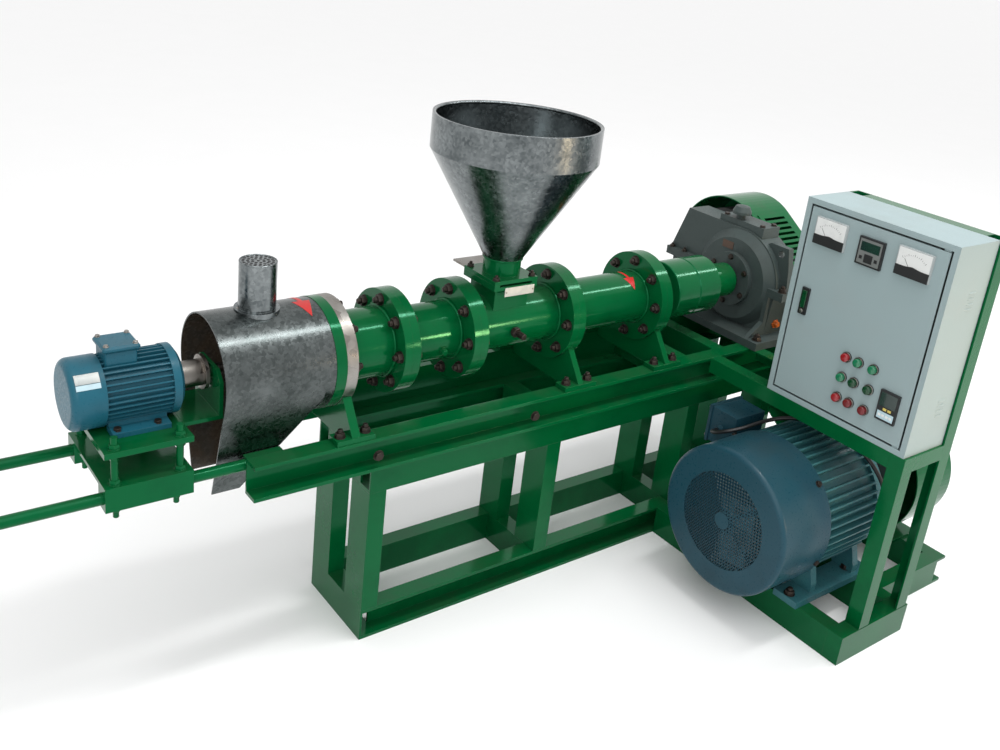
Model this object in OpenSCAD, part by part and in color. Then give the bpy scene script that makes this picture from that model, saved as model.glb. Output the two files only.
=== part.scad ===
// Fish feed extruder: screw barrel on a channel-steel frame, belt drive, face cutter and control cabinet.
// Millimetres. Work coordinates: X = 0 at the base's cutter end, Y = 0 on the barrel axis, Z = 0 on the floor.

/* [Steel sections] */
// Depth of the channel section
channel_h = 80; // [70:1:90]
// Flange width of the channel section
channel_b = 43; // [38:1:46]
// Web thickness of the channel section
channel_web = 5; // [4:0.5:8]
// Flange thickness of the channel section
channel_flange = 8; // [5:0.5:10]
// Leg of the angle section of the cabinet stand
angle_leg = 40; // [35:1:45]
// Thickness of the angle section
angle_t = 5; // [3:0.5:7]

/* [Frame] */
// Overall width of the frame
frame_w = 242; // [230:1:250]
// Length of the frame under barrel and gearbox
frame_len = 1390; // [1380:1:1395]
// Length of the floor frame with the beam under the guard
base_len = 1540; // [1520:1:1550]
// Spacing of the first three post pairs
post_pitch = 508; // [480:1:530]
// Height of a post between floor rail and top rail
post_len = 313; // [290:1:330]
// How far each bed channel stands out past the frame
bed_overhang = 35; // [30:1:37]
// How far the bed runs past the base at the cutter end
bed_reach = 289; // [270:1:300]
// Place of the first tie between the bed channels
tie_x = 930; // [905:1:960]
// Distance between the two bed ties
tie_pitch = 150; // [110:1:180]

/* [Barrel] */
// Height of the barrel axis over the bed
axis_rise = 151; // [145:1:160]
// Radius of the barrel flanges
flange_r = 118; // [110:1:124]
// Thickness of one barrel flange
flange_t = 20; // [16:1:22]
// Radius of the barrel tube
tube_r = 68; // [62:1:74]
// Radius of the front barrel tube
front_r = 79; // [74:1:86]
// Radius of the barrel bore
bore_r = 36; // [33:0.5:40]
// Face between front and middle barrel
joint_1 = 86; // [75:1:95]
// Face between middle barrel and feed barrel
joint_2 = 268; // [255:1:280]
// Face between feed barrel and bearing housing
joint_3 = 560; // [545:1:570]
// Face between bearing housing and its end cover
joint_4 = 860; // [850:1:865]
// Thickness of the pedestals' plates
pedestal_plate = 16; // [12:1:20]
// Thickness of the die bracket's plate
bracket_plate = 20; // [16:1:24]
// Length of a pedestal's foot
pedestal_foot = 100; // [90:1:106]
// Length of the die bracket's foot
bracket_foot = 90; // [80:1:94]

/* [Screw] */
// Gap between screw flight and barrel bore
screw_gap = 1; // [0.5:0.1:2]
// Radius of the screw root
root_r = 22; // [18:1:26]
// Pitch of the screw flight
screw_pitch = 60; // [50:1:75]
// Width of the screw flight at its outer edge
flight_w = 9; // [6:0.5:12]
// Radius of the shaft in the bearing housing
drive_shaft_r = 30; // [28:0.5:32]
// Clearance round a turning shaft
shaft_gap = 0.3; // [0.2:0.05:0.5]

/* [Die and hood] */
// Thickness of the painted hood ring
hood_ring_t = 24; // [18:1:28]
// Thickness of the bare die holder ring
die_holder_t = 26; // [22:1:30]
// Face of the die holder towards the barrel
die_holder_x = -49; // [-55:1:-44]
// How much larger than the barrel flanges both rings are
ring_proud = 3; // [0:0.5:5]
// Radius of the die plate
die_r = 68; // [60:1:74]
// How far the die plate stands into the hood
die_proud = 2; // [0:0.5:8]
// Radius of the hood drum
hood_r = 120; // [114:1:122]
// Length of the hood along the barrel
hood_len = 237; // [225:1:250]
// Sheet thickness of the hood
hood_t = 3; // [2:0.5:4]
// Width of the hood outlet
outlet_w = 112; // [100:1:124]
// Length of the hood outlet
outlet_len = 60; // [50:1:75]
// Height of the hood outlet over the floor
outlet_z = 450; // [440:1:465]
// Height over the outlet at which the slanted floor of the hood begins
slope_rise = 202; // [192:1:203]
// Distance from the hood ring to the step where the slanted floor ends
step_back = 21; // [20:1:26]
// Radius of the vent pipe on the hood
vent_r = 38; // [32:1:42]
// Top of the vent over the hood drum
vent_rise = 101; // [80:1:120]
// Distance of the vent from the hood ring
vent_back = 125; // [115:1:135]
// Width of the collar at the foot of the vent
vent_collar = 8; // [5:1:12]

/* [Hopper] */
// Place of the hopper axis
hopper_x = 392; // [385:1:400]
// Radius of the hopper rim
rim_r = 194; // [180:1:205]
// Height of the straight rim band
rim_h = 80; // [65:1:95]
// Height of the hopper cone
cone_h = 247; // [230:1:265]
// Sheet thickness of the hopper
hopper_t = 2.5; // [2:0.5:4]
// Radius of the wire rolled into the rim
rim_wire_r = 4; // [3:0.5:5]
// Radius of the neck pipe
neck_r = 45; // [43:1:48]
// Wall of the neck pipe
neck_t = 4; // [3:0.5:5]
// Height of the neck pipe
neck_h = 39; // [34:1:48]
// Width of the collar that joins neck and cone
collar_h = 12; // [8:1:16]
// Side of the throat flanges
throat_flange = 125; // [120:1:130]
// Thickness of a throat flange
throat_flange_t = 9; // [7:0.5:11]
// Side of the throat box
throat_box = 98; // [94:1:104]
// Side of the opening in box and barrel wall
feed_open = 66; // [60:1:70]
// Height of the throat box top over the barrel axis
throat_rise = 101; // [96:1:110]
// Width of the feed gate
gate_w = 93; // [88:1:98]
// Thickness of the feed gate
gate_t = 5; // [4:0.5:6]
// Clearance over and under the feed gate
gate_gap = 0.5; // [0.3:0.1:0.8]
// Length of the feed gate
gate_len = 110; // [106:1:120]
// How far the gate stands out of the flanges as set
gate_proud = 70; // [66:1:72]

/* [Cutter] */
// Radius of the guide rods
rod_r = 12; // [10:0.5:13]
// Distance of each guide rod from the web of its bed channel
rod_in = 14; // [13.5:0.5:16]
// Height of the guide rods over the foot of the bed
rod_rise = 57; // [54:1:60]
// Length of a guide rod's seat inside the bed channel
saddle_l = 80; // [60:1:90]
// Free length of the guide rods past the bed
rod_reach = 561; // [545:1:600]
// Length of the carriage along the rods
carriage_len = 167; // [160:1:175]
// Distance from bed end to carriage
carriage_gap = 109; // [100:1:115]
// Height and width of a sliding block
block_s = 42; // [38:1:46]
// Thickness of the carriage plate
tray_t = 8; // [6:1:10]
// Radius of the motor plate's studs
stud_r = 7; // [6:0.5:8]
// Distance of the studs from the carriage's ends
stud_inset = 22; // [18:1:26]
// Thickness of the motor plate
plate_t = 12; // [9:1:14]
// Shaft height of the cutter motor
cutter_h = 71; // [68:1:74]
// Radius over the fins of the cutter motor
cutter_r = 68; // [64:1:69]
// Height of the cutter motor's fins
cutter_fin_h = 9; // [6:1:11]
// Length of the cutter motor's fan cowl
cutter_cowl_len = 63; // [55:1:70]
// Length of the cutter motor's finned body
cutter_body_len = 125; // [118:1:130]
// Length of the cutter motor's end shield
cutter_shield_len = 30; // [24:1:34]
// How far the fan cowl hangs over the carriage
cutter_hang = 38; // [30:1:44]
// Radius of the cutter shaft
cutter_shaft_r = 12; // [10:0.5:13]
// Radius swept by the knives
knife_r = 44; // [40:1:46]
// Gap between knives and die plate
knife_gap = 6; // [5:0.5:8]
// Number of knives
knife_count = 3; // [2:1:4]

/* [Gearbox] */
// Distance from the gearbox's front to the frame's far end
gear_in = 150; // [145:1:155]
// Depth of the gearbox housing
gear_d = 105; // [98:1:112]
// Sideways place of the input shaft
input_y = 186; // [180:1:192]
// Radius of the housing round the large wheel
wheel_case_r = 145; // [138:1:150]
// Radius of the housing's round front at its face
front_case_r = 118; // [110:1:124]
// Depth of the housing's round front
case_back = 22; // [18:1:26]
// Radius of the housing round the small wheel
pinion_case_r = 78; // [72:1:84]
// Thickness of one half of the split flange
split_t = 12; // [10:1:16]
// How far the split flange stands out sideways
split_proud = 37; // [30:1:42]
// Thickness of the gearbox foot
gear_foot_t = 22; // [18:1:26]
// How far the gearbox foot stands out in front
gear_foot_proud = 56; // [50:1:66]
// Radius of the output bearing cap
cap_r = 78; // [72:1:84]
// Depth of the output bearing cap
cap_d = 16; // [14:1:20]
// Radius of the coupling
coupling_r = 80; // [74:1:86]
// Length of the coupling
coupling_len = 163; // [155:1:170]
// Place of the coupling
coupling_x = 947; // [940:1:955]
// Radius of the coupling's neck
coupling_neck_r = 48; // [44:1:52]
// Radius of the gearbox output shaft
output_r = 36; // [32:1:40]

/* [Belt drive] */
// Distance from the frame's far end to the belt guard
guard_gap = 10; // [6:1:14]
// Depth of the belt guard
guard_d = 165; // [155:1:172]
// Radius of both round ends of the guard
guard_r = 175; // [168:1:180]
// Sheet thickness of the guard
guard_t = 3; // [2:0.5:4]
// Radius of the gearbox pulley
pulley_r = 125; // [115:1:135]
// Radius of the motor pulley
motor_pulley_r = 90; // [80:1:100]
// Width of the pulleys
pulley_w = 82; // [76:1:90]
// Radius of the input shaft
input_r = 22; // [18:1:26]
// Height of a belt over its pulley
belt_h = 11; // [8:1:13]
// Number of slots in the guard window
window_slots = 12; // [8:1:14]

/* [Main motor] */
// Sideways place of the motor axis
motor_y = -448; // [-455:1:-440]
// Shaft height of the motor
motor_h = 192; // [191:1:198]
// Face of the fan cowl
motor_x = 820; // [810:1:830]
// Length of the fan cowl
cowl_len = 180; // [170:1:185]
// Radius of the fan cowl
cowl_r = 190; // [182:1:190]
// Radius of the grille in the fan cowl
grille_r = 125; // [110:1:135]
// Radius over the motor's fins
fin_r = 183; // [178:1:186]
// Height of the fins
fin_h = 18; // [14:1:22]
// Number of fins
fin_count = 48; // [36:1:56]
// Length of the finned body
motor_body_len = 215; // [205:1:225]
// Length of the drive-end shield
shield_len = 75; // [65:1:80]
// Radius of the motor shaft
motor_shaft_r = 24; // [20:1:28]
// Distance between the motor beams
foot_pitch = 232; // [225:1:240]
// Place of the front motor beam
beam_x = 962; // [955:1:968]
// Width over the feet
foot_w = 354; // [345:1:365]
// Width of one foot strip
foot_strip = 72; // [60:1:80]
// Thickness of the foot strips
foot_t = 18; // [14:1:22]
// Length of the motor's terminal box
term_l = 115; // [105:1:125]
// Near end of the motor base
base_near_y = -757; // [-765:1:-750]

/* [Cabinet] */
// Width of the cabinet
cab_w = 400; // [390:1:405]
// Height of the cabinet
cab_h = 512; // [500:1:525]
// Depth of the cabinet
cab_d = 160; // [152:1:165]
// Front face of the cabinet
cab_x = 1027; // [1022:1:1032]
// Side of the cabinet next to the barrel
cab_y = -350; // [-354:1:-346]
// Sheet thickness of the cabinet
cab_t = 3; // [2:0.5:3.5]
// Width of the lip round the door
lip_w = 14; // [12:1:18]
// Gap round the door
door_gap = 5; // [5:0.5:6]
// Depth of the door's folded edges
door_fold = 12; // [10:1:15]
// Distance of the hinge pins behind the door face
hinge_back = 8; // [7.5:0.5:10]
// Distance of the hinge pins from the door's edge
hinge_in = 10; // [9:0.5:12]
// Radius of the hinge pins
pin_r = 4; // [3:0.5:5]

/* [Instruments] */
// Distances of the two meters from the cabinet's barrel side
meter_columns = [85, 308]; // [80:1:315]
// Height of the meters over the cabinet's foot
meter_z = 443; // [438:1:446]
// Width, height and stand-out of a meter
meter_size = [85, 66, 9]; // [6:1:90]
// Place of the counter: distance from the barrel side, height over the foot
counter_at = [197, 433]; // [190:1:440]
// Width, height and stand-out of the counter
counter_size = [66, 66, 8]; // [6:1:70]
// Place of the heat controller: distance from the barrel side, height over the foot
heat_at = [333, 102]; // [95:1:338]
// Width, height and stand-out of the heat controller
heat_size = [50, 74, 7]; // [6:1:78]
// Heights of the rows of buttons over the cabinet's foot
button_rows = [67, 120, 172]; // [60:1:180]
// Distances of the columns of buttons from the barrel side
button_columns = [200, 234, 275]; // [195:1:280]
// Radius of a button's collar
button_r = 13; // [11:0.5:14]
// Place of the door lock: distance from the barrel side, height over the foot
lock_at = [53, 261]; // [48:1:270]
// Width, height and stand-out of the lock
lock_size = [21, 68, 6]; // [5:1:72]

/* [Cable] */
// Diameter of the motor cable
cable_d = 11; // [9:1:13]
// Length of the cable's two glands
gland_len = 14; // [10:1:18]
// Radius of the cable's two glands
gland_r = 10; // [8:1:12]

/* [Hidden] */
$fn = 96;
slip = 0.3;
cut = 1;
far = 2000;
rail_in = frame_w / 2 - channel_b;
top_z = channel_h + post_len;
bed_z = top_z + channel_h;
bed_top = bed_z + channel_h;
bed_y = frame_w / 2 + bed_overhang;
bed_web = bed_y - channel_b;
axis_z = bed_top + axis_rise;
post_x = [0, post_pitch, 2 * post_pitch, frame_len - channel_b];

die_x = die_holder_x - die_holder_t;
ring_x = die_x - hood_ring_t;
ring_r = flange_r + ring_proud;
hood_x = ring_x - hood_len;
die_face = ring_x - die_proud;
step_x = ring_x - step_back;
outlet_h = axis_z - outlet_z;

throat_z = axis_z + throat_rise;
slot_z = throat_z + throat_flange_t;
slot_h = gate_t + 2 * gate_gap;
neck_z = slot_z + slot_h + throat_flange_t;
cone_z = neck_z + neck_h;
gate_y = throat_flange / 2 + gate_proud - gate_len;

rod_y = bed_web - rod_in;
rod_z = bed_z + rod_rise;
rod_end = -bed_reach - rod_reach;
saddle_x = 6 - bed_reach;
carriage_end = -bed_reach - carriage_gap;
carriage_x = carriage_end - carriage_len;
block_z = rod_z - block_s / 2;
block_top = rod_z + block_s / 2;
tray_top = block_top + tray_t;
tray_w = 2 * rod_y + block_s;
plate_top = axis_z - cutter_h;
cutter_x = carriage_x - cutter_hang;
cutter_body_x = cutter_x + cutter_cowl_len;
cutter_cowl_r = cutter_r + 2;
cutter_face = cutter_body_x + cutter_body_len + cutter_shield_len;
knife_tip = die_face - knife_gap;
sleeve_len = 42;
disc_r = 36;
disc_t = 8;
hub_r = 18;
hub_len = 38;
bracket_t = 8;
bracket_x = hood_x + 10;

motor_z = channel_h + motor_h;
body_x = motor_x + cowl_len;
term_x = body_x + 20;
shield_x = body_x + motor_body_len;
gear_x = frame_len - gear_in;
case_x = gear_x + case_back;
split_lip = 14;
guard_x = frame_len + guard_gap;
pulley_x = guard_x + 12;
foot_x = beam_x - 14;
foot_len = foot_pitch + channel_b + 36;
floor_beam_x = base_len - channel_b;
guard_bar_y = -682;
shelf_z = bed_top;
cab_top = shelf_z + cab_h;
stand_back = cab_x + cab_d;
leg_y = base_near_y + 1;
cab_near = cab_y - cab_w;
door_low = shelf_z + lip_w + door_gap;
door_top = cab_top - lip_w - door_gap;
door_near = cab_near + lip_w + door_gap;
door_far = cab_y - lip_w - door_gap;
pin_x = cab_x + hinge_back;
pin_y = door_near + hinge_in;

mid = [(rod_end + guard_x + guard_d) / 2, (base_near_y + input_y + guard_r) / 2, 0];

machine_green = "#00552b";
cast_grey = "#4d5154";
sheet_zinc = "#a3a7a8";
bare_steel = "#8d8d88";
motor_blue = "#1d4f63";
cutter_blue = "#2a6a8c";
cabinet_grey = "#b9c4c6";
soft_black = "#191a1b";

// Motor cable: from the terminal box's gland over the motor and in a loop up to the cabinet's gland
term_gland = [term_x, motor_y + 210, motor_z + 108];
cab_gland = [cab_x + 116, cab_near + 50, shelf_z];

// Route over the motor, from the start of its fins on the axis
over_motor = [
    [-8, 210, 108], [-30, 198, 116], [-42, 172, 130], [-32, 142, 146], [0, 124, 156], [42, 116, 164],
    [80, 103, 174], [108, 76, 186], [128, 40, 196], [146, -2, 199], [160, -44, 194], [174, -84, 181],
    [187, -120, 159], [198, -152, 130], [208, -176, 96], [214, -192, 60], [214, -206, 24],
];

// Route up to the cabinet, from its lower near corner at the front
under_cabinet = [
    [176, 80, -285], [155, 66, -298], [134, 57, -287], [122, 52, -259], [117, 50, -213], [116, 50, -153],
    [116, 50, -83],
];

cable_route = concat([term_gland - [gland_len, 0, 0]],
    [for (p = over_motor) [body_x, motor_y, motor_z] + p],
    [for (p = under_cabinet) [cab_x, cab_near, shelf_z] + p],
    [cab_gland - [0, 0, gland_len]]);

// Moves work coordinates to the part's origin, the middle of its footprint
module placed() {
    translate(-mid) children();
}

// Both sides of the centre line
module both_sides() {
    children();
    mirror([0, 1, 0]) children();
}

// Cylinder along +X
module rod_x(r, len) {
    rotate([0, 90, 0]) cylinder(r = r, h = len);
}

// Profile of radius over length, turned round the X axis
module turned_x() {
    rotate([0, 90, 0]) rotate_extrude() children();
}

// Flat profile drawn in Y and Z, carried along +X
module along_x(len) {
    rotate([90, 0, 90]) linear_extrude(len) children();
}

// Flat profile drawn in X and Z, carried across Y over the given width about Y = 0
module across_y(width) {
    translate([0, width / 2, 0]) rotate([90, 0, 0]) linear_extrude(width) children();
}

// Channel along X, web on the low Y side
module channel_x(len) {
    along_x(len) channel_profile(channel_b, channel_h);
}

// Channel along Y, web on the low X side
module channel_y(len) {
    mirror([1, -1, 0]) channel_x(len);
}

// Channel section in its own plane, web at the left
module channel_profile(b, h) {
    difference() {
        square([b, h]);
        translate([channel_web, channel_flange]) square([b, h - 2 * channel_flange]);
    }
}

// Upright channel, web on the low X side
module channel_z(len) {
    linear_extrude(len) channel_profile(channel_b, channel_h);
}

// Angle section in its own plane, both legs along the axes
module angle_profile() {
    polygon([
        [0, 0], [angle_leg, 0], [angle_leg, angle_t], [angle_t, angle_t], [angle_t, angle_leg], [0, angle_leg],
    ]);
}

// Points on an arc about a centre, from one angle to another
function arc_points(at, r, from, to, steps) =
    [for (i = [0:steps]) at + r * [cos(from + (to - from) * i / steps), sin(from + (to - from) * i / steps)]];

// Outline round two circles and their common tangents
module loop_outline(a, b, ra, rb) {
    steps = 36;
    lean = acos((ra - rb) / norm(b - a));
    dir = atan2(b[1] - a[1], b[0] - a[0]);
    polygon(concat(
        arc_points(a, ra, dir + lean, dir + 360 - lean, steps),
        arc_points(b, rb, dir - lean, dir + lean, steps)));
}

// Toothed outline of a finned motor body
module fin_outline(r, h, count, fin_w) {
    step = 360 / count;
    half_tip = asin(fin_w / 2 / r);
    half_root = asin(fin_w / 2 / (r - h));
    corners = [[-half_root, r - h], [-half_tip, r], [half_tip, r], [half_root, r - h]];
    polygon([for (i = [0:count - 1]) for (p = corners)
        p[1] * [cos(i * step + p[0]), sin(i * step + p[0])]]);
}

// Frame

module base_rails() {
    color(machine_green) placed() both_sides()
        translate([channel_b, -rail_in, 0]) mirror([0, 1, 0]) channel_x(floor_beam_x - channel_b);
}

module frame_cross_channels() {
    color(machine_green) placed() {
        translate([0, -frame_w / 2, 0]) channel_y(frame_w);
        for (x = [post_x[1], post_x[2]]) translate([x, -rail_in, 0]) channel_y(2 * rail_in);
        for (x = post_x) translate([x, -rail_in, top_z]) channel_y(2 * rail_in);
    }
}

module frame_posts() {
    color(machine_green) placed() both_sides()
        for (x = post_x) translate([x, -frame_w / 2, channel_h]) channel_z(post_len);
}

module frame_top_rails() {
    color(machine_green) placed() both_sides()
        translate([0, -frame_w / 2, top_z]) channel_x(frame_len);
}

module bed_channels() {
    color(machine_green) placed() both_sides()
        translate([-bed_reach, -bed_web, bed_z]) mirror([0, 1, 0]) channel_x(bed_reach + frame_len);
}

module bed_ties() {
    color(machine_green) placed()
        for (x = [tie_x, tie_x + tie_pitch])
            translate([x, -bed_web, bed_z]) channel_y(2 * bed_web);
}

module motor_base_beams() {
    color(machine_green) placed()
        for (x = [beam_x, beam_x + foot_pitch])
            translate([x, base_near_y + channel_b, 0]) channel_y(-base_near_y - channel_b - frame_w / 2);
}

module motor_base_end_channel() {
    color(machine_green) placed()
        translate([beam_x, base_near_y, 0]) {
            channel_x(foot_pitch + channel_b);
            cube([channel_web, channel_b, channel_h]);
        }
}

module guard_floor_beam() {
    color(machine_green) placed() {
        translate([floor_beam_x, guard_bar_y, 0]) channel_y(frame_w / 2 - guard_bar_y);
        translate([beam_x + foot_pitch + channel_b, guard_bar_y, 0])
            channel_x(floor_beam_x - beam_x - foot_pitch - channel_b);
    }
}

// Barrel supports

// Plate across the bed with a round saddle, a foot on each bed channel and a rib behind it
module pedestal(x, r, plate, foot_l) {
    foot_t = 12;
    foot_w = channel_b - 4;
    foot_top = bed_top + foot_t;
    seat_z = axis_z - 0.5 * r;
    rib_t = 12;
    difference() {
        union() {
            translate([x - plate / 2, 0, 0]) along_x(plate)
                polygon([
                    [-bed_y + 4, foot_top], [bed_y - 4, foot_top], [bed_y - 14, foot_top + 14], [0.8 * r, seat_z],
                    [-0.8 * r, seat_z], [-bed_y + 14, foot_top + 14],
                ]);
            translate([x - plate / 2, -bed_web + slip, bed_top - foot_t])
                cube([plate, 2 * bed_web - 2 * slip, 2 * foot_t]);
            for (side = [-1, 1])
                translate([x - foot_l / 2, side * (bed_y - channel_b / 2) - foot_w / 2, bed_top])
                    cube([foot_l, foot_w, foot_t]);
            across_y(rib_t) polygon([[x, bed_top - foot_t], [x + foot_l / 2, bed_top - foot_t],
                [x + plate / 2 + 4, axis_z - r], [x, axis_z - r]]);
        }
        translate([x - foot_l, 0, axis_z]) rod_x(r + slip, 2 * foot_l);
    }
}

module die_bracket() {
    color(machine_green) placed()
        pedestal(die_holder_x - die_holder_t / 2, ring_r, bracket_plate, bracket_foot);
}

module feed_pedestal() {
    color(machine_green) placed() pedestal(joint_3, flange_r, pedestal_plate, pedestal_foot);
}

module bearing_pedestal() {
    color(machine_green) placed() pedestal(joint_4, flange_r, pedestal_plate, pedestal_foot);
}

// Barrel, screw and die

// Flanged tube with a bore; the flanges stand at the ends that are named
module barrel_piece(from, to, r, left, right, hole) {
    translate([0, 0, axis_z])
        difference() {
            union() {
                translate([from, 0, 0]) rod_x(r, to - from);
                if (left) translate([from, 0, 0]) rod_x(flange_r, flange_t);
                if (right) translate([to - flange_t, 0, 0]) rod_x(flange_r, flange_t);
            }
            translate([from - cut, 0, 0]) rod_x(hole, to - from + 2 * cut);
        }
}

module barrel_front() {
    color(machine_green) placed() barrel_piece(die_holder_x, joint_1, front_r, false, true, bore_r);
}

module barrel_middle() {
    color(machine_green) placed() barrel_piece(joint_1, joint_2, tube_r, true, true, bore_r);
}

module feed_barrel() {
    guide_w = (throat_flange - gate_w) / 2 - gate_gap;
    color(machine_green) placed()
        difference() {
            union() {
                barrel_piece(joint_2, joint_3, tube_r, true, true, bore_r);
                difference() {
                    translate([hopper_x - throat_box / 2, -throat_box / 2, axis_z])
                        cube([throat_box, throat_box, throat_rise + cut]);
                    translate([joint_2, 0, axis_z]) rod_x(tube_r - cut, joint_3 - joint_2);
                }
                translate([hopper_x - throat_flange / 2, -throat_flange / 2, throat_z])
                    cube([throat_flange, throat_flange, throat_flange_t]);
                for (side = [-1, 1]) translate([hopper_x + side * (throat_flange - guide_w) / 2 - guide_w / 2,
                    -throat_flange / 2, throat_z]) cube([guide_w, throat_flange, throat_flange_t + slot_h]);
            }
            translate([hopper_x - feed_open / 2, -feed_open / 2, axis_z]) cube([feed_open, feed_open, far]);
        }
}

module bearing_housing() {
    color(machine_green) placed()
        barrel_piece(joint_3, joint_4, tube_r, true, true, drive_shaft_r + shaft_gap);
}

module end_cover() {
    color(machine_green) placed()
        barrel_piece(joint_4, joint_4 + flange_t + 8, drive_shaft_r + 16, true, false,
            drive_shaft_r + shaft_gap);
}

// Root shaft and one helical flight: four corners a ring, turned and carried along the axis
module extruder_screw() {
    steps = 16;
    start = die_x + 12;
    rings = steps * floor((joint_3 - 12 - start) / screw_pitch);
    inner = root_r - 1;
    outer = bore_r - screw_gap;
    points = [for (i = [0:rings]) let (a = i * 360 / steps, x = start + i * screw_pitch / steps)
        for (c = [[inner, -0.7], [outer, -0.5], [outer, 0.5], [inner, 0.7]])
            [x + c[1] * flight_w, c[0] * cos(a), c[0] * sin(a)]];
    sides = [for (i = [0:rings - 1]) for (k = [0:3]) let (n = (k + 1) % 4)
        each [[4 * i + k, 4 * i + n, 4 * i + 4 + n], [4 * i + k, 4 * i + 4 + n, 4 * i + 4 + k]]];
    last = 4 * rings;
    color(bare_steel) placed() translate([0, 0, axis_z]) {
        translate([die_x + 6, 0, 0]) rod_x(root_r, joint_3 - die_x - 6);
        translate([joint_3, 0, 0]) rod_x(drive_shaft_r, coupling_x - joint_3);
        polyhedron(points, concat([[3, 2, 1, 0]], sides, [[last, last + 1, last + 2, last + 3]]),
            convexity = 8);
    }
}

module hood_ring() {
    color(machine_green) placed() translate([ring_x, 0, axis_z])
        difference() {
            rod_x(ring_r, hood_ring_t);
            translate([-cut, 0, 0]) rod_x(die_r + slip, hood_ring_t + 2 * cut);
        }
}

module die_holder() {
    color(bare_steel) placed() translate([die_x, 0, axis_z])
        difference() {
            rod_x(ring_r, die_holder_t);
            translate([-cut, 0, 0]) rod_x(bore_r, die_holder_t + 2 * cut);
        }
}

module die_plate() {
    holes = 12;
    color(bare_steel) placed() translate([die_face, 0, axis_z])
        difference() {
            rod_x(die_r, die_x - die_face);
            for (i = [0:holes - 1]) rotate([i * 360 / holes, 0, 0])
                translate([-cut, 0, bore_r - 8]) rod_x(3, die_x - die_face + 2 * cut);
        }
}

// Discharge hood

// Outline of the hood: a drum that runs down in straight tangents to a narrow outlet
module hood_outline(r, half, low) {
    t = atan2(-low, half) + acos(r / norm([half, low]));
    circle(r);
    polygon([[r * cos(t), r * sin(t)], [half, -low], [-half, -low], [-r * cos(t), r * sin(t)]]);
}

// Side view of the hood's space up to its step: all that lies over the slanted floor
module hood_side(inset, right) {
    foot = hood_x + outlet_len - inset;
    floor_z = outlet_z + slope_rise + inset;
    top = axis_z + hood_r + cut;
    polygon([
        [hood_x - cut, outlet_z - cut], [foot, outlet_z - cut], [foot, outlet_z], [step_x, floor_z],
        [right, floor_z], [right, top], [hood_x - cut, top],
    ]);
}

module hood_shell() {
    color(sheet_zinc) placed()
        difference() {
            union() {
                intersection() {
                    translate([hood_x, 0, axis_z]) along_x(hood_len)
                        hood_outline(hood_r, outlet_w / 2, outlet_h);
                    across_y(2 * hood_r + 2) hood_side(0, step_x);
                }
                translate([step_x, 0, axis_z]) rod_x(hood_r, step_back);
            }
            intersection() {
                translate([hood_x - cut, 0, axis_z]) along_x(hood_len + 2 * cut)
                    hood_outline(hood_r - hood_t, outlet_w / 2 - hood_t, outlet_h + cut);
                across_y(2 * hood_r + 2) hood_side(hood_t, step_x + hood_t);
            }
            translate([step_x + hood_t, 0, axis_z]) rod_x(hood_r - hood_t, step_back);
            translate([ring_x - vent_back, 0, axis_z]) cylinder(r = vent_r - hood_t, h = 2 * hood_r);
        }
}

module hood_vent() {
    color(sheet_zinc) placed() translate([ring_x - vent_back, 0, axis_z])
        difference() {
            union() {
                cylinder(r = vent_r, h = hood_r + vent_rise);
                cylinder(r = vent_r + vent_collar, h = hood_r + 3);
            }
            translate([0, 0, -cut]) cylinder(r = vent_r - hood_t, h = hood_r + vent_rise + cut - hood_t);
            translate([-2 * hood_r, 0, 0]) rod_x(hood_r + slip, 4 * hood_r);
        }
}

// Hopper and feed gate

module feed_gate() {
    color(bare_steel) placed()
        translate([hopper_x - gate_w / 2, gate_y, slot_z + gate_gap]) cube([gate_w, gate_len, gate_t]);
}

module hopper_neck() {
    color(machine_green) placed()
        difference() {
            union() {
                translate([hopper_x - throat_flange / 2, -throat_flange / 2, slot_z + slot_h])
                    cube([throat_flange, throat_flange, throat_flange_t]);
                translate([hopper_x, 0, neck_z - cut]) cylinder(r = neck_r, h = neck_h + cut);
            }
            translate([hopper_x, 0, slot_z]) cylinder(r = neck_r - neck_t, h = far);
        }
}

module hopper() {
    color(sheet_zinc) placed() translate([hopper_x, 0, cone_z])
        rotate_extrude() {
            polygon([
                [neck_r - neck_t, 0], [neck_r + hopper_t, 0], [rim_r, cone_h], [rim_r, cone_h + rim_h],
                [rim_r - hopper_t, cone_h + rim_h], [rim_r - hopper_t, cone_h + hopper_t / 2],
            ]);
            translate([rim_r - hopper_t - rim_wire_r / 2, cone_h + rim_h - rim_wire_r]) circle(rim_wire_r);
        }
}

// Gearbox and coupling

module shaft_coupling() {
    half = coupling_len / 2;
    groove = 3;
    end = gear_x + cap_d - coupling_x;
    color(machine_green) placed() translate([coupling_x, 0, axis_z])
        turned_x() polygon([
            [0, 0], [coupling_r - 2, 0], [coupling_r, 2], [coupling_r, half - groove],
            [coupling_r - groove, half], [coupling_r, half + groove], [coupling_r, coupling_len - 2], [coupling_r - 2, coupling_len],
            [coupling_neck_r, coupling_len], [coupling_neck_r, gear_x - cap_d - 15 - coupling_x],
            [output_r, gear_x - cap_d - 15 - coupling_x], [output_r, end], [0, end],
        ]);
}

// What both gearbox halves share, cut at the axis height: split flange, round front, cap with its bore
module gear_half(low, high, z) {
    difference() {
        union() {
            children();
            translate([case_x - split_lip, low, z]) cube([gear_d - case_back + split_lip, high - low, split_t]);
            translate([gear_x, 0, axis_z]) turned_x() polygon([
                [0, -cap_d], [cap_r, -cap_d], [cap_r, 0], [front_case_r, 0],
                [wheel_case_r - 3, case_back + cut], [0, case_back + cut],
            ]);
        }
        translate([gear_x - far / 2, -far / 2, z < axis_z ? axis_z : axis_z - far]) cube([far, far, far]);
        translate([gear_x - 2 * cap_d, 0, axis_z]) rod_x(output_r + shaft_gap, 3 * cap_d + slip);
    }
}

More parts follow.
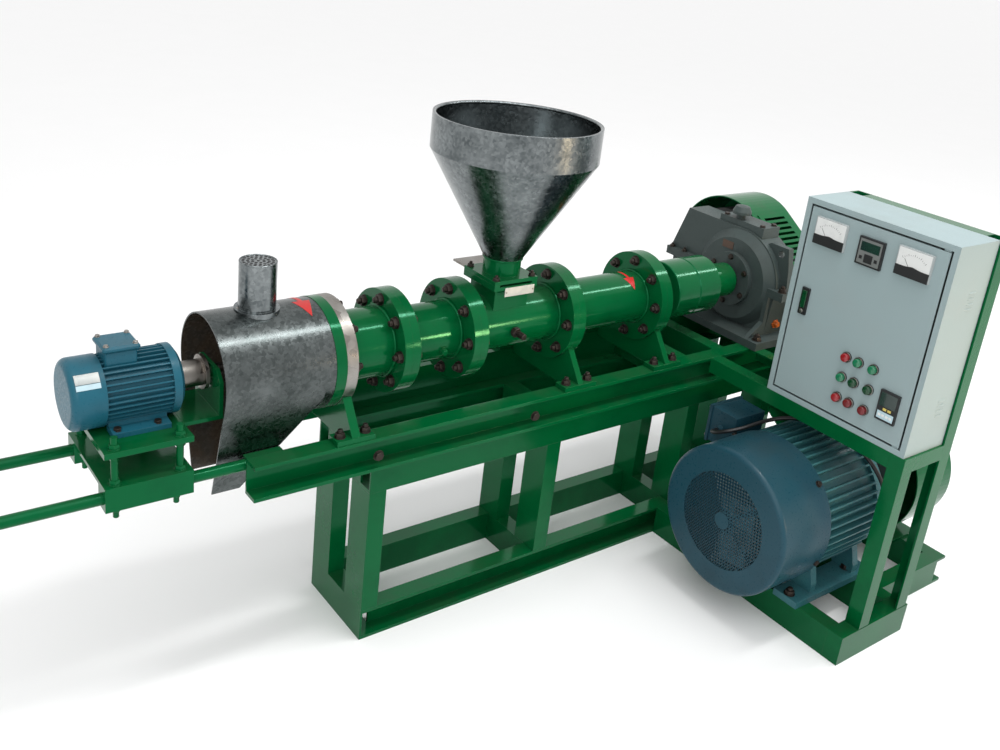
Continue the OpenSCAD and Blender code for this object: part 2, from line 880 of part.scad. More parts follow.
module gearbox_lower() {
    low = -wheel_case_r - split_proud;
    high = input_y + pinion_case_r + 4;
    foot_low = low + 6;
    foot_top = bed_top + gear_foot_t;
    color(cast_grey) placed()
        gear_half(low, high, axis_z - split_t) {
            translate([case_x, 0, 0]) along_x(gear_d - case_back) polygon([
                [-wheel_case_r, axis_z], [high - 16, axis_z], [high - 34, foot_top - cut],
                [-wheel_case_r + 10, foot_top - cut],
            ]);
            translate([gear_x - gear_foot_proud, foot_low, bed_top])
                cube([gear_d + gear_foot_proud, high - foot_low, gear_foot_t]);
            for (y = [-wheel_case_r + 16, input_y]) translate([0, y, 0]) across_y(14)
                polygon([[case_x + cut, foot_top - cut], [gear_x - gear_foot_proud + 8, foot_top - cut],
                    [case_x - split_lip, foot_top + 40], [case_x - split_lip, axis_z - split_t],
                    [case_x + cut, axis_z - split_t]]);
        }
}

module gearbox_upper() {
    low = -wheel_case_r - split_proud;
    high = input_y + pinion_case_r + 4;
    top = axis_z + wheel_case_r;
    lug_t = 20;
    color(cast_grey) placed()
        gear_half(low, high, axis_z) {
            translate([case_x, 0, 0]) along_x(gear_d - case_back)
                polygon(concat(arc_points([0, axis_z], wheel_case_r, 90, 180, 24),
                    [[high - 4, axis_z], [high - 4, axis_z + split_t], [input_y + 0.4 * pinion_case_r, top]]));
            translate([case_x + 18, 0, axis_z]) along_x(lug_t) difference() {
                polygon([[-wheel_case_r - 23, split_t - cut], [-wheel_case_r - 15, 0.5 * wheel_case_r],
                    [-wheel_case_r - 3, wheel_case_r - 15], [-0.6 * wheel_case_r, wheel_case_r - 15],
                    [-0.25 * wheel_case_r, 0.7 * wheel_case_r], [-0.25 * wheel_case_r, split_t - cut]]);
                translate([18 - wheel_case_r, wheel_case_r - 36]) circle(10);
            }
        }
}

module gearbox_cover() {
    near = -60;
    wide = 160;
    cover_t = 18;
    top = axis_z + wheel_case_r;
    color(cast_grey) placed() {
        difference() {
            translate([case_x + 6, near, top - cover_t]) cube([gear_d - case_back - 12, wide, 2 * cover_t]);
            translate([case_x, 0, axis_z]) rod_x(wheel_case_r + slip / 3, gear_d);
            translate([case_x, 0, top - far + slip / 3]) cube([gear_d, far, far]);
        }
        translate([gear_x + 45, 40, top + cover_t - cut]) turned_z()
            polygon([[0, 0], [13, 0], [13, 16], [27, 16], [27, 24], [20, 38], [0, 41]]);
    }
}

// Profile of radius over height, turned round the Z axis
module turned_z() {
    rotate_extrude() children();
}

// Belt drive

input_at = [input_y, axis_z];
motor_at = [motor_y, motor_z];
guard_tilt = atan2(motor_z - axis_z, motor_y - input_y) + 180;
window_l = 250;
window_w = guard_d - 40;

// Frame on the guard's slanted top side: X across the guard, Y down the slope, Z out of the sheet
module on_guard_top() {
    translate([guard_x + guard_d / 2, input_y, axis_z])
        rotate([guard_tilt, 0, 0]) translate([0, 0, guard_r]) mirror([0, 1, 0]) children();
}

module belt_guard() {
    foot_l = 120;
    color(machine_green) placed()
        difference() {
            union() {
                translate([guard_x + 30, motor_y - foot_l, channel_h]) cube([guard_d - 30, 2 * foot_l, 8]);
                translate([guard_x, 0, 0]) along_x(guard_d) loop_outline(input_at, motor_at, guard_r, guard_r);
                for (side = [-1, 1]) translate([floor_beam_x, motor_y + side * (foot_l / 2 - 4) - 4, channel_h])
                    cube([channel_b, 8, 70]);
            }
            translate([guard_x - cut, 0, 0]) along_x(guard_d - guard_t + cut)
                loop_outline(input_at, motor_at, guard_r - guard_t, guard_r - guard_t);
            on_guard_top() translate([-window_w / 2 + 10, 10, -guard_t - cut])
                cube([window_w - 20, window_l - 20, 3 * guard_t]);
        }
}

module guard_window() {
    pitch = (window_l - 20) / window_slots;
    color(machine_green) placed() on_guard_top()
        difference() {
            translate([-window_w / 2, 0, 0]) cube([window_w, window_l, guard_t]);
            for (i = [0:window_slots - 1]) translate([-window_w / 2 + 16, 10 + (i + 0.25) * pitch, -cut])
                cube([window_w - 32, pitch / 2, guard_t + 2 * cut]);
        }
}

module drive_pulleys() {
    hub = pulley_x - shield_x - shield_len;
    color(cast_grey) placed() {
        translate([pulley_x, input_y, axis_z]) rod_x(pulley_r, pulley_w);
        translate([gear_x + gear_d, input_y, axis_z]) rod_x(input_r, pulley_x - gear_x - gear_d);
        translate([pulley_x, motor_y, motor_z]) rod_x(motor_pulley_r, pulley_w);
        translate([pulley_x - hub / 2, motor_y, motor_z]) rod_x(motor_shaft_r + 22, hub / 2 + cut);
    }
}

module drive_belts() {
    belts = 4;
    pitch = pulley_w / belts;
    belt_w = 17;
    color(soft_black) placed()
        for (i = [0:belts - 1]) translate([pulley_x + (i + 0.5) * pitch - belt_w / 2, 0, 0]) along_x(belt_w)
            difference() {
                loop_outline(input_at, motor_at, pulley_r + belt_h, motor_pulley_r + belt_h);
                loop_outline(input_at, motor_at, pulley_r + slip, motor_pulley_r + slip);
            }
}

// Main motor

module motor_cowl() {
    round_r = 12;
    dish = 6;
    hub_r = 22;
    color(motor_blue) placed() translate([motor_x, motor_y, motor_z])
        turned_x() difference() {
            union() {
                square([cowl_r - round_r, cowl_len]);
                translate([0, round_r]) square([cowl_r, cowl_len - round_r]);
                translate([cowl_r - round_r, round_r]) circle(round_r);
            }
            translate([hub_r, -cut]) square([grille_r - hub_r, dish + cut]);
            translate([-far, -cut]) square([far, far]);
        }
}

module motor_body() {
    drum_r = fin_r - 8;
    neck_r = 82;
    root = fin_r - fin_h;
    color(motor_blue) placed() translate([0, motor_y, motor_z])
        difference() {
            union() {
                translate([body_x, 0, 0]) along_x(motor_body_len) fin_outline(fin_r, fin_h, fin_count, 5);
                translate([shield_x - cut, 0, 0]) turned_x() polygon([
                    [0, 0], [drum_r, 0], [drum_r, shield_len * 0.4], [drum_r - 22, shield_len * 0.55],
                    [neck_r + 20, shield_len * 0.8], [neck_r, shield_len + cut], [0, shield_len + cut],
                ]);
                for (side = [-1, 1]) {
                    translate([foot_x, side * (foot_w - foot_strip) / 2 - foot_strip / 2, -motor_h])
                        cube([foot_len, foot_strip, foot_t]);
                    for (x = [foot_x + 66, foot_x + foot_len - 70]) translate([x, 0, 0]) along_x(22)
                        polygon([
                            [side * (foot_w / 2 - 12), foot_t - motor_h - cut],
                            [side * (foot_w / 2 - 12), -motor_h + 40],
                            [side * 0.86 * root, -0.45 * root], [side * 0.5 * root, -0.8 * root],
                            [side * (foot_w / 2 - foot_strip), foot_t - motor_h - cut],
                        ]);
                }
            }
            translate([shield_x, 0, 0]) rod_x(motor_shaft_r + shaft_gap, far);
        }
    color(bare_steel) placed() translate([shield_x + slip, motor_y, motor_z])
        rod_x(motor_shaft_r, pulley_x - (pulley_x - shield_x - shield_len) / 2 - shield_x - 2 * slip);
}

module motor_terminal_box() {
    color(motor_blue) placed()
        difference() {
            union() {
                translate([term_x, motor_y + 163, motor_z + 58]) cube([term_l, 95, 100]);
                translate([term_x - 4, motor_y + 246, motor_z + 54]) cube([term_l + 8, 8, 108]);
                translate(term_gland - [gland_len, 0, 0]) rod_x(gland_r, gland_len + cut);
            }
            translate([body_x, motor_y, motor_z]) rod_x(fin_r + slip, motor_body_len);
        }
}

// Unit vector along the cable at a point of its route
function cable_dir(i) = let (a = cable_route[max(i - 1, 0)], b = cable_route[min(i + 1, len(cable_route) - 1)])
    (b - a) / norm(b - a);

// Unit vector across the cable, kept near the one before it so that the tube doesn't twist
function cable_side(i) =
    let (d = cable_dir(i), s = i == 0 ? [0, 1, 0] : cable_side(i - 1), c = s - (s * d) * d) c / norm(c);

module motor_cable() {
    sides = 10;
    last = len(cable_route) - 1;
    points = [for (i = [0:last]) let (d = cable_dir(i), s = cable_side(i), n = cross(d, s))
        for (k = [0:sides - 1]) let (turn = k * 360 / sides)
            cable_route[i] + cable_d / 2 * (cos(turn) * s + sin(turn) * n)];
    walls = [for (i = [0:last - 1]) for (k = [0:sides - 1])
        let (a = i * sides + k, b = i * sides + (k + 1) % sides)
        each [[a, b + sides, b], [a, a + sides, b + sides]]];
    color(soft_black) placed()
        polyhedron(points, concat([[for (k = [0:sides - 1]) k]], walls,
            [[for (k = [sides - 1:-1:0]) last * sides + k]]), convexity = 10);
}

// Cabinet stand

module stand_legs() {
    color(machine_green) placed() {
        translate([cab_x, leg_y, channel_h]) linear_extrude(shelf_z - channel_h) angle_profile();
        translate([stand_back + angle_leg, leg_y, channel_h])
            mirror([1, 0, 0]) linear_extrude(cab_top - channel_h) angle_profile();
        translate([stand_back + angle_leg, cab_y, shelf_z])
            mirror([1, 0, 0]) mirror([0, 1, 0]) linear_extrude(cab_h) angle_profile();
    }
}

module stand_shelf() {
    beam_len = -leg_y - angle_leg - bed_y;
    color(machine_green) placed() {
        for (x = [cab_x, stand_back + angle_leg])
            translate([x, leg_y + angle_leg + beam_len, shelf_z])
                mirror([x > cab_x ? 1 : 0, 0, 0]) mirror([0, 0, 1]) rotate([90, 0, 0])
                    linear_extrude(beam_len) angle_profile();
        for (y = [leg_y, cab_y - angle_leg + 10])
            translate([cab_x + angle_leg, y, shelf_z]) mirror([0, 0, 1])
                along_x(cab_d - angle_leg) angle_profile();
    }
}

module stand_top_bar() {
    color(machine_green) placed()
        translate([stand_back + angle_leg, cab_y - angle_leg, cab_top]) mirror([1, 0, 0]) mirror([0, 0, 1])
            rotate([90, 0, 0]) linear_extrude(cab_y - 2 * angle_leg - leg_y) angle_profile();
}

// Control cabinet

module cabinet_box() {
    bracket_w = 16;
    color(cabinet_grey) placed() {
        difference() {
            translate([cab_x, cab_near, shelf_z]) cube([cab_d, cab_w, cab_h]);
            translate([cab_x + cab_t, cab_near + cab_t, shelf_z + cab_t])
                cube([cab_d - 2 * cab_t, cab_w - 2 * cab_t, cab_h - 2 * cab_t]);
            translate([cab_x - cut, cab_near + lip_w, shelf_z + lip_w])
                cube([cab_t + 2 * cut, cab_w - 2 * lip_w, cab_h - 2 * lip_w]);
        }
        translate(cab_gland - [0, 0, gland_len]) cylinder(r = gland_r, h = gland_len + cut);
        for (end = [[shelf_z + cab_t - cut, 1], [cab_top - cab_t + cut, -1]]) {
            reach = lip_w + door_gap - cab_t - 1 + cut;
            translate([cab_x + cab_t - cut, pin_y - bracket_w / 2, end[1] > 0 ? end[0] : end[0] - reach])
                cube([hinge_back + bracket_w / 2, bracket_w, reach]);
            translate([pin_x, pin_y, end[0] + end[1] * (reach - cut)])
                mirror([0, 0, end[1] > 0 ? 0 : 1]) cylinder(r = pin_r, h = 24);
        }
    }
}

module cabinet_plate() {
    inset = 38;
    color("#b9a878") placed()
        translate([stand_back - cab_t - 14, cab_near + inset, shelf_z + inset]) {
            cube([3, cab_w - 2 * inset, cab_h - 2 * inset]);
            for (y = [20, cab_w - 2 * inset - 20]) for (z = [20, cab_h - 2 * inset - 20])
                translate([3 - cut, y, z]) rod_x(8, 11 + cut);
        }
}

module cabinet_door() {
    knuckle_h = 24;
    color(cabinet_grey) placed()
        difference() {
            union() {
                translate([cab_x, door_near, door_low])
                    cube([cab_t, door_far - door_near, door_top - door_low]);
                translate([cab_x, door_far - cab_t, door_low]) cube([door_fold, cab_t, door_top - door_low]);
                for (z = [door_low, door_top - cab_t]) translate([cab_x, pin_y + 2 * hinge_in, z])
                    cube([door_fold, door_far - pin_y - 2 * hinge_in, cab_t]);
                for (z = [door_low + 1, door_top - 1 - knuckle_h]) {
                    translate([pin_x, pin_y, z]) cylinder(r = pin_r + 3, h = knuckle_h);
                    translate([cab_x + cab_t - cut, pin_y - pin_r - 3, z])
                        cube([hinge_back - cab_t + cut, 2 * pin_r + 6, knuckle_h]);
                }
            }
            translate([pin_x, pin_y, door_low - cut])
                cylinder(r = pin_r + shaft_gap, h = knuckle_h + 2 * cut + 1);
            translate([pin_x, pin_y, door_top - knuckle_h - cut - 1])
                cylinder(r = pin_r + shaft_gap, h = knuckle_h + 2 * cut + 1);
        }
}

// Box on the door face, from its middle's distances to the cabinet's barrel side and foot, and its size
module on_door(place, size) {
    translate([cab_x - size[2], cab_y - place[0] - size[0] / 2, shelf_z + place[1] - size[1] / 2])
        cube([size[2], size[0], size[1]]);
}

module panel_meters() {
    color("#e8ecec") placed() for (y = meter_columns) on_door([y, meter_z], meter_size);
}

module panel_controllers() {
    color(soft_black) placed() {
        on_door(counter_at, counter_size);
        on_door(heat_at, heat_size);
    }
}

module panel_buttons() {
    color("#1f7a4d") placed()
        for (z = button_rows) for (y = button_columns)
            translate([cab_x, cab_y - y, shelf_z + z]) rotate([0, -90, 0]) {
                cylinder(r = button_r, h = 0.3 * button_r);
                cylinder(r = 0.73 * button_r, h = button_r);
            }
}

module door_lock() {
    color(soft_black) placed() on_door(lock_at, lock_size);
}

// Cutter and its carriage

module guide_rods() {
    inner_end = saddle_x + saddle_l + 10;
    color(machine_green) placed() both_sides()
        translate([rod_end, rod_y, rod_z]) rod_x(rod_r, inner_end - rod_end);
}

module rod_saddles() {
    wall = 3;
    low = rod_r + wall;
    color(machine_green) placed() both_sides() translate([saddle_x, rod_y, rod_z])
        difference() {
            translate([0, -low, -low]) cube([saddle_l, bed_web - rod_y + low, 2 * low]);
            translate([-cut, 0, 0]) rod_x(rod_r + slip / 3, saddle_l + 2 * cut);
        }
}

module carriage_base() {
    color(machine_green) placed()
        difference() {
            union() {
                for (side = [-1, 1]) translate([carriage_x, side * rod_y - block_s / 2, block_z])
                    cube([carriage_len, block_s, block_s + cut]);
                translate([carriage_x, -tray_w / 2, block_top]) cube([carriage_len, tray_w, tray_t]);
            }
            for (side = [-1, 1]) translate([carriage_x - cut, side * rod_y, rod_z])
                rod_x(rod_r + slip, carriage_len + 2 * cut);
        }
}

// Places of the four studs that carry the motor plate
module at_studs() {
    for (x = [carriage_x + stud_inset, carriage_end - stud_inset]) for (side = [-1, 1])
        translate([x, side * (rod_y + 6), 0]) children();
}

module carriage_studs() {
    color(machine_green) placed() at_studs()
        translate([0, 0, tray_top]) cylinder(r = stud_r, h = plate_top + 24 - tray_top);
}

module motor_plate() {
    color(machine_green) placed()
        difference() {
            translate([carriage_x, -tray_w / 2, plate_top - plate_t]) cube([carriage_len, tray_w, plate_t]);
            at_studs() translate([0, 0, plate_top - plate_t - cut])
                cylinder(r = stud_r + slip / 3, h = plate_t + 2 * cut);
        }
}

module cutter_motor() {
    foot_l = 110;
    foot_half = 72;
    shield_r = cutter_r + 1.5;
    color(cutter_blue) placed() translate([0, 0, axis_z])
        difference() {
            union() {
                translate([cutter_body_x, 0, 0]) along_x(cutter_body_len)
                    fin_outline(cutter_r, cutter_fin_h, 36, 3);
                translate([cutter_body_x + cutter_body_len - cut, 0, 0]) turned_x() polygon([
                    [0, 0], [shield_r, 0], [shield_r, cutter_shield_len / 2],
                    [shield_r - 14, cutter_shield_len - 6], [30, cutter_shield_len - 6],
                    [30, cutter_shield_len + cut], [0, cutter_shield_len + cut],
                ]);
                for (side = [-1, 1]) translate([cutter_body_x + 6, 0, 0]) along_x(foot_l)
                    polygon([[side * foot_half, -cutter_h], [side * foot_half, -cutter_h + 10],
                        [side * (foot_half - 26), -cutter_h + 13], [side * (foot_half - 30), -20],
                        [side * 12, -20], [side * 30, -cutter_h + 20], [side * 34, -cutter_h]]);
            }
            translate([cutter_face - 20, 0, 0]) rod_x(cutter_shaft_r + shaft_gap, 40);
        }
}

module cutter_cowl() {
    round_r = 16;
    color(cutter_blue) placed() translate([cutter_x, 0, axis_z])
        turned_x() intersection() {
            union() {
                square([cutter_cowl_r - round_r, cutter_cowl_len]);
                translate([0, round_r]) square([cutter_cowl_r, cutter_cowl_len - round_r]);
                translate([cutter_cowl_r - round_r, round_r]) circle(round_r);
            }
            square(far);
        }
}

module cutter_terminal_box() {
    box_l = 82;
    box_w = 76;
    color(cutter_blue) placed()
        difference() {
            union() {
                translate([cutter_body_x - 6, -box_w / 2, axis_z + cutter_r - 12]) cube([box_l, box_w, 36]);
                translate([cutter_body_x - 10, -box_w / 2 - 4, axis_z + cutter_r + 24])
                    cube([box_l + 8, box_w + 8, 16]);
            }
            translate([cutter_body_x - far, 0, axis_z]) rod_x(cutter_cowl_r + slip, far + slip);
            translate([cutter_body_x, 0, axis_z]) rod_x(cutter_r + slip, far);
        }
}

// Angle plate bolted to the motor plate, with the cutter shaft's bearing in its upright side
module knife_bracket() {
    half_w = 64;
    shoulder = 22;
    color(machine_green) placed()
        difference() {
            union() {
                translate([carriage_end, -half_w, plate_top - bracket_t])
                    cube([bracket_x - carriage_end + bracket_t, 2 * half_w, bracket_t]);
                translate([bracket_x, 0, 0]) along_x(bracket_t) polygon([
                    [-half_w, plate_top - bracket_t], [half_w, plate_top - bracket_t], [half_w, axis_z],
                    [half_w - shoulder, axis_z + shoulder], [shoulder - half_w, axis_z + shoulder],
                    [-half_w, axis_z],
                ]);
            }
            translate([bracket_x - cut, 0, axis_z]) rod_x(cutter_shaft_r + shaft_gap, bracket_t + 2 * cut);
        }
}

module cutter_shaft() {
    buried = 18;
    sleeve_r = 27;
    sleeve_at = buried + 1;
    disc_at = sleeve_at + sleeve_len;
    tip_at = knife_tip - cutter_face + buried;
    color(bare_steel) placed() translate([cutter_face - buried, 0, axis_z])
        turned_x() polygon([
            [0, 0], [cutter_shaft_r, 0], [cutter_shaft_r, sleeve_at], [sleeve_r, sleeve_at],
            [sleeve_r, disc_at], [disc_r, disc_at], [disc_r, disc_at + disc_t], [cutter_shaft_r, disc_at + disc_t],
            [cutter_shaft_r, tip_at - hub_len], [hub_r, tip_at - hub_len], [hub_r, tip_at], [0, tip_at],
        ]);
}

module knives() {
    blade_t = 5;
    blade_w = 18;
    color(bare_steel) placed() translate([knife_tip - blade_t, 0, axis_z])
        difference() {
            for (i = [0:knife_count - 1]) rotate([i * 360 / knife_count, 0, 0]) translate([0, 0, 12])
                along_x(blade_t) polygon([[-blade_w / 2, 0], [blade_w / 2, 0], [blade_w / 2 - 2, knife_r - 12],
                    [-blade_w / 2 + 6, knife_r - 12]]);
            translate([-cut, 0, 0]) rod_x(hub_r + slip / 3, 20);
        }
}

base_rails();
frame_cross_channels();
frame_posts();
frame_top_rails();
bed_channels();
bed_ties();
motor_base_beams();
motor_base_end_channel();
guard_floor_beam();
die_bracket();
feed_pedestal();
bearing_pedestal();
barrel_front();
barrel_middle();
feed_barrel();
bearing_housing();
end_cover();
extruder_screw();
hood_ring();
die_holder();
die_plate();
hood_shell();
hood_vent();
feed_gate();
hopper_neck();
hopper();
shaft_coupling();
gearbox_lower();
gearbox_upper();
gearbox_cover();
belt_guard();
guard_window();
drive_pulleys();
drive_belts();
motor_cowl();
motor_body();
motor_terminal_box();
motor_cable();
stand_legs();
stand_shelf();
stand_top_bar();
cabinet_box();
cabinet_plate();
cabinet_door();
panel_meters();
panel_controllers();
panel_buttons();
door_lock();
guide_rods();
rod_saddles();
carriage_base();
carriage_studs();
motor_plate();
cutter_motor();
cutter_cowl();
cutter_terminal_box();
knife_bracket();
cutter_shaft();
knives();
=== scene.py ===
"""Looks of the fish feed extruder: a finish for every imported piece, and the hardware that sits on them."""

import logging
import math
from dataclasses import dataclass
from enum import Enum
from typing import Iterable, Sequence

import bpy
import numpy as np
from mathutils import Matrix, Vector


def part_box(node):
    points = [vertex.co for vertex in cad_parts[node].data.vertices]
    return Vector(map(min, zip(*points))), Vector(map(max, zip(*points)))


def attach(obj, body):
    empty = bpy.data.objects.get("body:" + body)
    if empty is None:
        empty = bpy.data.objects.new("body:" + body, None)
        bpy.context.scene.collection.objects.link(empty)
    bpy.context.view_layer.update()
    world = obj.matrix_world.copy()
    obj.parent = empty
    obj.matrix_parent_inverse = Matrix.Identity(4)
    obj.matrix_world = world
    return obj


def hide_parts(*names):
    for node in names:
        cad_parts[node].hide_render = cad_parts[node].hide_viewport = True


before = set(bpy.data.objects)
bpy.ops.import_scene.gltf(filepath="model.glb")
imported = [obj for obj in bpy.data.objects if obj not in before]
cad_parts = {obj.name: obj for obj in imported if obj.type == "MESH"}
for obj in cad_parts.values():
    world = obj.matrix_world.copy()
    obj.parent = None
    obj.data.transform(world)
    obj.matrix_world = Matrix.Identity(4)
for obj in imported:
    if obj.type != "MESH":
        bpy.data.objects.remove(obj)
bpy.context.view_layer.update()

LOG = logging.getLogger("extruder")
MM = 0.001
Colour = tuple[float, float, float]
Point = tuple[float, float, float]
# Middle of the footprint in the machine's own measures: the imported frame's origin
ORIGIN_MM = (357.5, -198.0, 0.0)
# Height of the barrel's axis and place of the door's front face, in the same measures
AXIS_MM, DOOR_MM = 704, 1027
# Values between which a noise mostly lies
GRAIN_SPAN = (0.3, 0.7)


def at(x: float, y: float, z: float) -> Point:
    """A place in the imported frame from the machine's own measures in millimetres."""
    return tuple((np.array((x, y, z)) - ORIGIN_MM) * MM)


# Y and Z of the barrel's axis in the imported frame
BARREL_AXIS = at(0, 0, AXIS_MM)[1:]


class Body(str, Enum):
    """The bodies that the scene's own pieces ride on."""

    MACHINE = "machine"
    DOOR = "door"
    CARRIAGE = "carriage"


class Tint(Enum):
    """Colours of the finishes, as linear light."""

    GREEN = (0.0004, 0.086, 0.023)
    GREEN_DEEP = (0.0004, 0.046, 0.013)
    DUST = (0.17, 0.155, 0.12)
    CAST = (0.046, 0.063, 0.061)
    CAST_DEEP = (0.012, 0.013, 0.014)
    MOTOR = (0.012, 0.056, 0.080)
    MOTOR_DEEP = (0.008, 0.030, 0.042)
    # Painted light: a lighter copy of the motor's blue for the fins, standing in for light falling on them
    # from the right and above
    SUNLIT_FINS = (0.034, 0.135, 0.150)
    CUTTER = (0.012, 0.100, 0.145)
    CUTTER_DEEP = (0.006, 0.050, 0.075)
    CABINET = (0.285, 0.365, 0.375)
    CABINET_DEEP = (0.30, 0.33, 0.33)
    ZINC = (0.27, 0.295, 0.30)
    ZINC_DARK = (0.080, 0.093, 0.097)
    DULL_ZINC = (0.135, 0.150, 0.150)
    DULL_ZINC_DARK = (0.046, 0.055, 0.054)
    STEEL = (0.36, 0.35, 0.33)
    STEEL_DARK = (0.13, 0.11, 0.09)
    BOLT = (0.034, 0.030, 0.027)
    RUST = (0.034, 0.024, 0.018)
    CRUST = (0.060, 0.045, 0.032)
    BLACK = (0.010, 0.010, 0.011)
    RUBBER = (0.014, 0.014, 0.014)
    RED = (0.50, 0.012, 0.010)
    RED_DARK = (0.15, 0.005, 0.008)
    LENS_RED = (0.29, 0.008, 0.014)
    BEZEL = (0.15, 0.16, 0.155)
    RIM = (0.42, 0.45, 0.45)
    BRONZE = (0.105, 0.062, 0.042)
    WHITE = (0.72, 0.73, 0.72)
    LENS_GREEN = (0.010, 0.17, 0.075)
    DISPLAY = (0.012, 0.030, 0.026)
    ORANGE = (0.55, 0.12, 0.012)
    PLATE_ZINC = (0.52, 0.47, 0.32)
    PLATE = (0.66, 0.65, 0.60)
    AMBER = (0.62, 0.50, 0.12)
    KEYS = (0.46, 0.62, 0.68)


# Shader groups


class Tree:
    """A node tree with short calls for adding and linking nodes."""

    def __init__(self, tree: bpy.types.NodeTree) -> None:
        """Keeps the tree and empties it."""
        self.tree = tree
        self.tree.nodes.clear()

    def add(self, kind: str, **values: object) -> bpy.types.Node:
        """Adds a node.

        Args:
            kind: Blender's node type.
            **values: properties of the node, or input values by socket name with spaces as underscores.

        Returns:
            The new node.
        """
        node = self.tree.nodes.new(kind)
        for key, value in values.items():
            name = key.replace("_", " ")
            if hasattr(node, key):
                setattr(node, key, value)
            else:
                socket = next(s for s in node.inputs if s.name.lower() == name.lower())
                self.feed(socket, value)
        return node

    def feed(self, socket: bpy.types.NodeSocket, value: object) -> None:
        """Links a socket to another one, or sets its value."""
        if isinstance(value, bpy.types.NodeSocket):
            self.tree.links.new(value, socket)
        elif isinstance(value, tuple) and socket.type == "RGBA" and len(value) == 3:
            socket.default_value = (*value, 1.0)
        else:
            socket.default_value = value

    def math(self, operation: str, a: object, b: object = 0.0, clamp: bool = False) -> bpy.types.NodeSocket:
        """Adds a Math node and returns its output."""
        node = self.tree.nodes.new("ShaderNodeMath")
        node.operation = operation
        node.use_clamp = clamp
        self.feed(node.inputs[0], a)
        self.feed(node.inputs[1], b)
        return node.outputs[0]

    def span(self, value: object, low: float, high: float, to_low: float = 0.0,
             to_high: float = 1.0) -> bpy.types.NodeSocket:
        """Maps a value from one range to another, clamped, and returns the output."""
        node = self.tree.nodes.new("ShaderNodeMapRange")
        for socket, given in zip(node.inputs[:5], (value, low, high, to_low, to_high)):
            self.feed(socket, given)
        return node.outputs[0]

    def mix(self, mask: object, a: object, b: object) -> bpy.types.NodeSocket:
        """Mixes two colours by a mask and returns the output."""
        node = self.tree.nodes.new("ShaderNodeMix")
        node.data_type = "RGBA"
        self.feed(node.inputs[0], mask)
        self.feed(node.inputs[6], a)
        self.feed(node.inputs[7], b)
        return node.outputs[2]

    def blend(self, mask: object, share: float, a: object, b: object) -> bpy.types.NodeSocket:
        """Mixes two colours by a share of a mask and returns the output."""
        return self.mix(self.math("MULTIPLY", mask, share), a, b)

    def noise(self, spot: object, scale: object, detail: float = 4.0,
              rough: float = 0.55) -> bpy.types.NodeSocket:
        """Adds a noise texture and returns its value."""
        node = self.add("ShaderNodeTexNoise", Scale=scale, Detail=detail, Roughness=rough)
        self.feed(node.inputs["Vector"], spot)
        return node.outputs[0]

    def vector(self, operation: str, *given: object) -> bpy.types.Node:
        """Adds a Vector Math node and returns it."""
        node = self.add("ShaderNodeVectorMath", operation=operation)
        for socket, value in zip(node.inputs, given):
            self.feed(socket, value)
        return node

    def place(self) -> bpy.types.NodeSocket:
        """Adds the Object coordinates and returns them."""
        return self.add("ShaderNodeTexCoord").outputs["Object"]

    def normal(self) -> bpy.types.NodeSocket:
        """Adds the surface's normal and returns it."""
        return self.add("ShaderNodeNewGeometry").outputs["Normal"]


def group(name: str, inputs: Sequence[tuple[str, float]],
          outputs: Sequence[str]) -> tuple[Tree, bpy.types.Node, bpy.types.Node]:
    """Starts a shader node group.

    Args:
        name: the group's name.
        inputs: names and default values of its inputs.
        outputs: names of its outputs.

    Returns:
        The tree, its input node and its output node.
    """
    made = bpy.data.node_groups.new(name, "ShaderNodeTree")
    tree = Tree(made)
    for label, value in inputs:
        socket = made.interface.new_socket(label, in_out="INPUT", socket_type="NodeSocketFloat")
        socket.default_value = value
    for label in outputs:
        made.interface.new_socket(label, in_out="OUTPUT", socket_type="NodeSocketFloat")
    return tree, tree.add("NodeGroupInput"), tree.add("NodeGroupOutput")


def grime_group() -> None:
    """Dust on faces that look up, stains in slow patches, and a fine grain.

    Dust is the upward share of the normal times a noise; stain is a slow noise over a threshold, a little
    stronger close to the floor; grain is a quick noise.
    """
    tree, given, out = group("workshop_grime", [("Patch Scale", 9.0), ("Grain Scale", 260.0)],
                             ["Dust", "Stain", "Grain"])
    spot = tree.place()
    up = tree.add("ShaderNodeSeparateXYZ", Vector=tree.normal()).outputs[2]
    height = tree.add("ShaderNodeSeparateXYZ", Vector=spot).outputs[2]
    slow = tree.noise(spot, given.outputs[0], 5.0, 0.62)
    grain = tree.noise(spot, given.outputs[1], 3.0)
    dust = tree.math("MULTIPLY", tree.span(up, 0.35, 0.95), tree.span(slow, 0.40, 0.66))
    low = tree.span(height, 0.30, 0.0, 0.0, 0.22)
    stain = tree.span(tree.math("ADD", slow, low), 0.50, 0.80)
    for socket, value in zip(out.inputs, (dust, stain, grain)):
        tree.feed(socket, value)


def edge_group() -> None:
    """Worn edges: where a rounded normal departs from the true one, broken up by noise."""
    tree, given, out = group("worn_edges", [("Radius", 0.002), ("Chips", 120.0)], ["Edge"])
    rounded = tree.add("ShaderNodeBevel", samples=4, Radius=given.outputs[0]).outputs[0]
    dot = tree.vector("DOT_PRODUCT", tree.normal(), rounded)
    bend = tree.span(dot.outputs["Value"], 0.995, 0.86)
    chips = tree.span(tree.noise(tree.place(), given.outputs[1], 4.0), 0.42, 0.62)
    tree.feed(out.inputs[0], tree.math("MULTIPLY", bend, chips))


